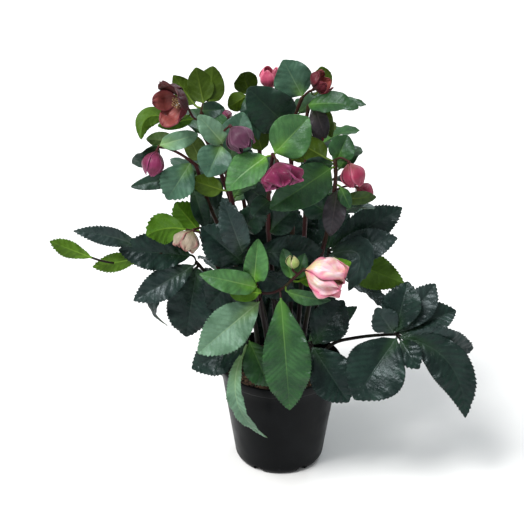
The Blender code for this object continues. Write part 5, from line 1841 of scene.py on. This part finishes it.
def bend_clear(plant: Plant, blade: Blade, thicket: Thicket, ways: list[Bend]) -> None:
    """Bends a blade until it crosses nothing, just as its solid is bent.

    Args:
        plant: The blade's plant.
        blade: The blade.
        thicket: What has been placed.
        ways: The bends to try.
    """
    base, tip, roll, arch, via = blade.base, blade.tip, blade.roll, blade.arch, blade.via
    sight = (EYE - tip).normalized() if blade.sighted else blade.facing
    blade.root = plant.root_of(blade)
    near = thicket.near(blade.sheet()[0], BEND_REACH)
    best = None
    for _, tip_shift, base_shift, roll_shift, arch_shift in ways:
        blade.tip = tip + sight * tip_shift
        blade.base = base + sight * base_shift
        blade.via = via + sight * (tip_shift + base_shift) / 2 if via is not None else None
        blade.roll = roll + roll_shift
        blade.arch = arch + arch_shift
        blade.root = plant.root_of(blade)
        count = thicket.crossings(plant.name, blade, near)
        if best is None or count < best[0]:
            best = (count, blade.tip, blade.base, blade.via, blade.roll, blade.arch, blade.root)
        if count == 0:
            break
    _, blade.tip, blade.base, blade.via, blade.roll, blade.arch, blade.root = best


def mesh_facts(mesh: bpy.types.Mesh) -> tuple[list[Vector], Faces]:
    """A mesh's points and faces."""
    return [vertex.co.copy() for vertex in mesh.vertices], [tuple(face.vertices) for face in mesh.polygons]


def settle_plants(plants: list[Plant], blooms: dict[str, Bloom]) -> None:
    """Bends every blade clear of the pot, the stems, the blooms and the blades before it.

    Args:
        plants: The plants in order.
        blooms: The blooms by node.
    """
    thicket = Thicket()
    thicket.add("pot", *mesh_facts(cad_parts["pot"].data))
    for plant in plants:
        for tube in plant.tubes:
            thicket.add(plant.name, *tube.outline())
    for name, bloom in blooms.items():
        for petal in range(bloom.petals):
            thicket.add(name, *bloom.petal_sheet(petal))
    ways = bends()
    pairs = [(plant, blade) for plant in plants for blade in plant.blades]
    pairs.sort(key=lambda pair: not pair[1].sighted)
    for plant, blade in pairs:
        bend_clear(plant, blade, thicket, ways)
        thicket.add(plant.name, *blade.sheet())


@dataclass
class Wardrobe:
    """Makes each leaf and petal material once and hands it out."""

    stem: bpy.types.Material
    stalk: bpy.types.Material
    leaves: dict[tuple[Tone, Face], bpy.types.Material] = field(default_factory=dict)
    petals: dict[tuple[str, Face], bpy.types.Material] = field(default_factory=dict)

    def leaf(self, tone: Tone, face: Face) -> bpy.types.Material:
        """The material of a leaf tone's face."""
        if (tone, face) not in self.leaves:
            self.leaves[tone, face] = LEAF_FINISHES[tone].made(tone, face)
        return self.leaves[tone, face]

    def petal(self, name: str, face: Face) -> bpy.types.Material:
        """The material of a petal's face."""
        if (name, face) not in self.petals:
            self.petals[name, face] = PETALS[name].made(face)
        return self.petals[name, face]


@dataclass
class LeafyPiece:
    """A leafy stem or a basal leaf, made fine."""

    plant: Plant
    wardrobe: Wardrobe
    seed: float
    bract: LeafCut = LeafCut()
    leaflet: LeafCut = LeafCut(half=(0.04, 0.11, 0.21, 0.33, 0.46, 0.59, 0.71, 0.82, 0.91, 0.965, 1.0),
                               thick=0.00034, vein_gap=0.0085, vein_sink=0.00036, rib_out=0.0007,
                               wave=0.0019, tip_fall=0.030)

    def build(self) -> bpy.types.Object:
        """Makes its tubes and blades as one piece.

        Returns:
            The piece.
        """
        skin = Skin(self.plant.name + "_leafy")
        basal = self.plant.name.startswith("leaf")
        bark = self.wardrobe.stalk if basal else self.wardrobe.stem
        knots = [blade.root for blade in self.plant.blades]
        knots += [tube.route[0] for tube in self.plant.tubes[1:]]
        for tube in self.plant.tubes:
            tube.knots = knots
            tube.grow(skin, bark)
        for i, blade in enumerate(self.plant.blades):
            top = skin.finish(self.wardrobe.leaf(blade.tone, Face.TOP))
            under = skin.finish(self.wardrobe.leaf(blade.tone, Face.UNDER))
            neck = skin.finish(bark) if basal or blade.saw else under
            cut = self.leaflet if blade.saw else self.bract
            cut.grow(skin, blade, top, under, neck, self.seed + i)
        return skin.made(self.plant.name)


@dataclass
class BloomPiece:
    """A bloom or bud, made fine: petals, the swollen end of its stalk, and its heart where it is open."""

    name: str
    bloom: Bloom
    wardrobe: Wardrobe
    threads: int = 34
    cut: PetalCut = PetalCut()

    def build(self, heart: bpy.types.Material) -> bpy.types.Object:
        """Makes the bloom as one piece.

        Args:
            heart: The stamens' finish.

        Returns:
            The piece.
        """
        skin = Skin(self.name + "_petals")
        inside = skin.finish(self.wardrobe.petal(self.bloom.finish, Face.TOP))
        outside = skin.finish(self.wardrobe.petal(self.bloom.finish, Face.UNDER))
        for petal in range(self.bloom.petals):
            self.cut.grow(skin, self.bloom, petal, inside, outside)
        self.knob(skin)
        if self.bloom.inside:
            self.stamens(skin, skin.finish(heart))
        return skin.made(self.name)

    def knob(self, skin: Skin) -> None:
        """Adds the round end of the stalk, which the petals grow from."""
        along, side, up = self.bloom.axes()
        finish = skin.finish(self.wardrobe.stem)
        start = self.bloom.foot - along * (BLOOM_REACH + 0.0012)
        long = BLOOM_REACH + 0.0042
        wide = 0.0011 + 0.075 * self.bloom.radius
        rings = []
        for share in (i / 6 for i in range(7)):
            radius = wide * (0.42 + 0.58 * math.sin(math.pi * (0.08 + 0.84 * share)))
            middle = start + along * long * share
            ring = [skin.point(middle + spoke(side, up, yaw) * radius, share * 0.004, yaw * 0.001)
                    for yaw in turns(12)]
            rings.append(closed(ring))
        skin.drum(rings, finish)

    def stamens(self, skin: Skin, finish: int) -> None:
        """Adds a ring of threads with their tips round the heart."""
        along, side, up = self.bloom.axes()
        tall = (self.bloom.mouth - self.bloom.foot).length
        for i in range(self.threads):
            share = math.sqrt((i + 0.5) / self.threads)
            out = spoke(side, up, GOLDEN_TURN * i)
            foot = self.bloom.foot + along * 0.08 * tall + out * 0.10 * self.bloom.radius * share
            reach = tall * (0.34 + 0.12 * chance(i, 2.0))
            tip = foot + along * reach + out * self.bloom.radius * (0.06 + 0.20 * share)
            self.thread(skin, foot, tip, finish)

    def thread(self, skin: Skin, foot: Vector, tip: Vector, finish: int) -> None:
        """Adds one stamen.

        Args:
            skin: The piece's skin.
            foot: Where it starts.
            tip: Where its anther is.
            finish: Its finish number.
        """
        way = (tip - foot).normalized()
        side = way.orthogonal().normalized()
        up = way.cross(side)
        profile = ((0.0, 0.00022), (0.80, 0.00018), (0.84, 0.00050), (0.92, 0.00062), (0.99, 0.00030))
        rings = []
        for share, radius in profile:
            spot = foot.lerp(tip, share)
            ring = [skin.point(spot + spoke(side, up, yaw) * radius, share) for yaw in turns(6)]
            rings.append(closed(ring))
        skin.drum(rings, finish)


@dataclass
class NurseryPot:
    """The pot: a thin turned shell with a rolled rim, a band below it, a round foot and drain notches."""

    height: float = 0.132
    rim: float = 0.075
    band: float = 0.012
    band_step: float = 0.0022
    base: float = 0.0535
    wall: float = 0.0020
    floor: float = 0.0028
    foot: float = 0.011
    notches: int = 6
    notch_start: float = math.radians(240)
    notch_size: Spot = (0.016, 0.012, 0.014)
    dent: float = 0.0025
    sides: int = 144

    def wall_radius(self, height: float) -> float:
        """The wall's outer radius at a height."""
        top = self.rim - self.band_step
        return self.base + (top - self.base) * height / self.height

    def profile(self) -> list[tuple[float, float]]:
        """Lists the turned outline from the inside of the floor over the rim to the underside.

        Returns:
            Radii and heights.
        """
        under_band = self.height - self.band
        foot_out, band_out = self.wall_radius(self.foot), self.wall_radius(under_band)
        foot_in = foot_out - self.wall
        rows = [(0.0, self.floor), (foot_in - 0.008, self.floor), (foot_in - 0.0022, self.floor + 0.0030),
                (foot_in, self.foot), (band_out - self.wall, under_band),
                (self.rim - self.wall * 1.2, self.height - 0.0016)]
        lip = self.wall * 0.62
        for i in range(9):
            yaw = math.pi * (1 - i / 8)
            rows.append((self.rim - lip + lip * math.cos(yaw), self.height - lip + lip * math.sin(yaw)))
        rows += [(self.rim - 0.0002, self.height - 0.0030),
                 (band_out + self.band_step, under_band + 0.0008),
                 (band_out + self.band_step - 0.0004, under_band + 0.0001),
                 (band_out + 0.0005, under_band - 0.0006), (band_out, under_band - 0.0018)]
        for i in range(1, 12):
            height = under_band - 0.0018 + (self.foot - under_band + 0.0018) * i / 11
            rows.append((self.wall_radius(height), height))
        for i in range(1, 7):
            yaw = math.pi / 2 * i / 6
            rows.append((foot_out - 0.0068 * (1 - math.cos(yaw)), self.foot - self.foot * math.sin(yaw)))
        return rows + [(foot_out - 0.0105, 0.0), (foot_out - 0.0120, 0.0016), (0.0, 0.0016)]

    def build(self, finish: bpy.types.Material) -> bpy.types.Object:
        """Turns the outline and cuts the notches.

        Args:
            finish: The pot's finish.

        Returns:
            The piece.
        """
        work = bmesh.new()
        rings: list[list[bmesh.types.BMVert]] = []
        for radius, height in self.profile():
            if radius == 0.0:
                rings.append([work.verts.new((0, 0, height))] * self.sides)
                continue
            ring = []
            for yaw in turns(self.sides):
                spot = Vector((math.cos(yaw) * 1.3, math.sin(yaw) * 1.3, height * 12))
                dented = radius * (1 + self.dent * noise.noise(spot))
                ring.append(work.verts.new((dented * math.cos(yaw), dented * math.sin(yaw), height)))
            rings.append(ring)
        for first, second in zip(rings, rings[1:]):
            for k in range(self.sides):
                after = (k + 1) % self.sides
                work.faces.new(tuple(dict.fromkeys((first[k], first[after], second[after], second[k]))))
        bmesh.ops.recalc_face_normals(work, faces=work.faces)
        mesh = bpy.data.meshes.new("nursery_pot")
        work.to_mesh(mesh)
        work.free()
        pot = bpy.data.objects.new("nursery_pot", mesh)
        bpy.context.scene.collection.objects.link(pot)
        self.notch(pot)
        pot.data.shade_smooth()
        pot.data.set_sharp_from_angle(angle=math.radians(40))
        pot.data.materials.clear()
        pot.data.materials.append(finish)
        place_piece(pot, "pot")
        return pot

    def notch(self, pot: bpy.types.Object) -> None:
        """Cuts the drainage notches through the foot."""
        cutters = []
        reach = self.wall_radius(0.0)
        for i in range(self.notches):
            yaw = self.notch_start + 2 * math.pi * i / self.notches
            work = bmesh.new()
            bmesh.ops.create_cube(work, size=1.0)
            bmesh.ops.scale(work, vec=self.notch_size, verts=work.verts)
            bmesh.ops.bevel(work, geom=work.edges, offset=0.0016, segments=3, affect="EDGES")
            mesh = bpy.data.meshes.new("notch")
            work.to_mesh(mesh)
            work.free()
            cutter = bpy.data.objects.new("notch", mesh)
            place = Matrix.Translation((reach * math.cos(yaw), reach * math.sin(yaw), 0))
            cutter.matrix_world = place @ Matrix.Rotation(yaw, 4, "Z")
            bpy.context.scene.collection.objects.link(cutter)
            cutters.append(cutter)
        for cutter in cutters:
            cut = pot.modifiers.new("notch", "BOOLEAN")
            cut.operation = "DIFFERENCE"
            cut.solver = "EXACT"
            cut.object = cutter
        bpy.context.view_layer.update()
        made = bpy.data.meshes.new_from_object(pot.evaluated_get(bpy.context.evaluated_depsgraph_get()))
        pot.modifiers.clear()
        pot.data = made
        for cutter in cutters:
            bpy.data.objects.remove(cutter)


@dataclass
class PottingMix:
    """The soil: a lumpy top with crumbs and chips of bark, and a plain body inside the pot."""

    top: float = SOIL_TOP
    rings: int = 56
    sides: int = 144
    chips: int = 420
    lump: float = 0.0030
    border: float = 0.010

    def height_at(self, x: float, y: float) -> float:
        """The height of the soil's top at a place."""
        spot = Vector((x, y, 0))
        rough = noise.fractal(spot * 110, 0.9, 2.1, 4)
        return self.top + self.lump * 0.5 * noise.noise(spot * 26) + self.lump * 0.42 * rough

    def build(self, pot: NurseryPot, peat: bpy.types.Material,
              bark: bpy.types.Material) -> bpy.types.Object:
        """Makes the soil as one piece.

        Args:
            pot: The pot that holds it.
            peat: The mix's finish.
            bark: The chips' finish.

        Returns:
            The piece.
        """
        skin = Skin("potting_mix")
        mix = skin.finish(peat)
        chip = skin.finish(bark)
        edge = pot.wall_radius(self.top) - pot.wall - 0.0004
        rows = [[skin.point(Vector((0, 0, self.height_at(0, 0))))] * (self.sides + 1)]
        for i in range(1, self.rings + 1):
            radius = edge * i / self.rings
            low = 0.0030 * ease((radius - edge + self.border) / self.border)
            row = []
            for yaw in turns(self.sides):
                x, y = radius * math.cos(yaw), radius * math.sin(yaw)
                row.append(skin.point(Vector((x, y, self.height_at(x, y) - low))))
            rows.append(closed(row))
        deep = pot.foot + 0.0004
        for radius, height in ((pot.wall_radius(deep) - pot.wall - 0.0004, deep),
                               (pot.wall_radius(pot.foot) - pot.wall - 0.009, pot.floor + 0.0004)):
            rows.append(closed([skin.point(Vector((radius * math.cos(yaw), radius * math.sin(yaw), height)))
                                for yaw in turns(self.sides)]))
        for first, second in zip(rows, rows[1:]):
            skin.strip(first, second, mix, flip=True)
        skin.face(rows[-1][:-1][::-1], mix)
        for i in range(self.chips):
            self.add_chip(skin, i, edge, chip if i % 3 else mix)
        return skin.made("soil", smooth=False)

    def add_chip(self, skin: Skin, number: int, edge: float, finish: int) -> None:
        """Adds one crumb or chip of bark, half sunk in the mix.

        Args:
            skin: The piece's skin.
            number: Its own number.
            edge: The mix's outer radius.
            finish: Its finish number.
        """
        radius = (edge - 0.005) * math.sqrt(chance(number, 1.0))
        yaw = 2 * math.pi * chance(number, 2.0)
        x, y = radius * math.cos(yaw), radius * math.sin(yaw)
        big = 0.0011 + 0.0030 * chance(number, 3.0) ** 2
        turn = Matrix.Rotation(6.28 * chance(number, 4.0), 3, "Z")
        turn = turn @ Matrix.Rotation(0.8 * chance(number, 5.0), 3, "X")
        low = 0.0028 * ease((radius - edge + self.border) / self.border)
        middle = Vector((x, y, self.height_at(x, y) - low + big * 0.12))
        rows = []
        for level, share in ((-0.34, 0.72), (-0.10, 1.0), (0.18, 0.94), (0.34, 0.60)):
            ring = []
            for k, angle in enumerate(turns(7)):
                rough = share * (0.78 + 0.44 * chance(number, k, level * 10))
                local = Vector((math.cos(angle) * rough * 1.5, math.sin(angle) * rough * 0.8, level * 1.2))
                ring.append(skin.point(middle + turn @ local * big))
            rows.append(closed(ring))
        skin.drum(rows, finish)


@dataclass
class Studio:
    """A pale floor, soft lights and the photograph's camera."""

    floor_side: float = 60.0
    floor_tone: Colour = (0.76, 0.76, 0.76)
    zenith: float = 0.92
    horizon: float = 0.22

    def build(self) -> None:
        """Sets the floor, the lights, the world and the camera."""
        bpy.ops.mesh.primitive_plane_add(size=self.floor_side)
        floor = bpy.context.object
        floor.name = "studio_floor"
        sheet = NodeSheet("studio_floor")
        grain = sheet.step(sheet.grain(6.0, 2.0), 0.2, 0.8)
        tone = sheet.mix(grain, self.floor_tone, dimmed(self.floor_tone, 1.01))
        floor.data.materials.append(sheet.finish(tone, 0.9, 0.2))
        self.sky()
        self.sun("key", (-0.55, -0.42, 1.0), 3.7, 24.0, (1.0, 0.99, 0.97))
        self.sun("back", (0.45, 0.85, 0.75), 0.85, 20.0, (0.86, 0.94, 1.0))
        self.camera()
        scene = bpy.context.scene
        scene.view_settings.view_transform = "Standard"
        scene.view_settings.look = "None"

    def sky(self) -> None:
        """Sets a plain sky, bright overhead and dimmer towards the horizon."""
        world = bpy.data.worlds.new("studio_sky")
        world.use_nodes = True
        tree = world.node_tree
        way = tree.nodes.new("ShaderNodeTexCoord").outputs["Generated"]
        split = tree.nodes.new("ShaderNodeSeparateXYZ")
        tree.links.new(way, split.inputs[0])
        rise = tree.nodes.new("ShaderNodeMapRange")
        tree.links.new(split.outputs[2], rise.inputs["Value"])
        rise.inputs["To Min"].default_value = self.horizon
        rise.inputs["To Max"].default_value = self.zenith
        seen_bare = tree.nodes.new("ShaderNodeLightPath").outputs["Is Camera Ray"]
        strength = tree.nodes.new("ShaderNodeMath")
        strength.operation = "MAXIMUM"
        tree.links.new(rise.outputs[0], strength.inputs[0])
        tree.links.new(seen_bare, strength.inputs[1])
        tree.links.new(strength.outputs[0], tree.nodes["Background"].inputs["Strength"])
        tree.nodes["Background"].inputs["Color"].default_value = (0.97, 0.99, 1.0, 1.0)
        bpy.context.scene.world = world

    def sun(self, name: str, way: Spot, power: float, width: float, colour: Colour) -> None:
        """Hangs one wide, soft light that reaches the whole floor evenly.

        Args:
            name: Its name.
            way: The way towards it.
            power: Its strength.
            width: How wide it looks, in degrees.
            colour: Its colour.
        """
        light = bpy.data.lights.new(name, "SUN")
        light.energy = power
        light.angle = math.radians(width)
        light.color = colour
        lamp = bpy.data.objects.new(name, light)
        lamp.rotation_euler = (-Vector(way)).to_track_quat("-Z", "Y").to_euler()
        bpy.context.scene.collection.objects.link(lamp)

    def camera(self) -> None:
        """Sets the camera where the photograph was taken from."""
        lens = bpy.data.cameras.new("camera")
        lens.sensor_width = SENSOR
        lens.lens = EYE_REACH / FRAME_SIDE * SENSOR
        lens.clip_end = 100.0
        camera = bpy.data.objects.new("camera", lens)
        camera.location = EYE
        camera.rotation_euler = (math.pi / 2 - EYE_TILT, 0, 0)
        bpy.context.scene.collection.objects.link(camera)
        bpy.context.scene.camera = camera


def main() -> None:
    """Builds every piece in order."""
    logging.basicConfig(level=logging.INFO, format="%(name)s: %(message)s")
    blooms = blooms_and_buds()
    plants = flowering_stems(blooms) + basal_leaves()
    settle_plants(plants, blooms)
    LOG.info("%d leaves bent clear", sum(len(plant.blades) for plant in plants))
    # Each stem finish's first colour is painted shade for stems and stalks low down under the foliage
    stem_skin = StemFinish((0.0072, 0.0034, 0.0036), (0.050, 0.012, 0.013), (0.018, 0.029, 0.007)).made()
    stalk_skin = StemFinish((0.0078, 0.0058, 0.0048), (0.018, 0.011, 0.007), (0.012, 0.021, 0.007),
                            name="stalk_skin").made()
    wardrobe = Wardrobe(stem_skin, stalk_skin)
    pot = NurseryPot()
    pot.build(PotFinish().made())
    LOG.info("pot")
    bark = SoilFinish((0.060, 0.036, 0.022), (0.140, 0.092, 0.055), name="bark_chips")
    PottingMix().build(pot, SoilFinish().made(), bark.made())
    LOG.info("soil")
    for i, plant in enumerate(plants):
        LeafyPiece(plant, wardrobe, seed=7.0 * i).build()
        LOG.info("%s: %d leaves", plant.name, len(plant.blades))
    heart = PetalFinish("stamens", (0.20, 0.10, 0.05), (0.20, 0.10, 0.05), (0.12, 0.05, 0.03),
                        (0.40, 0.28, 0.12), (0.10, 0.08, 0.03)).made(Face.TOP)
    for name, bloom in blooms.items():
        BloomPiece(name, bloom, wardrobe).build(heart)
        LOG.info(name)
    Studio().build()


if __name__ == "__main__":
    main()
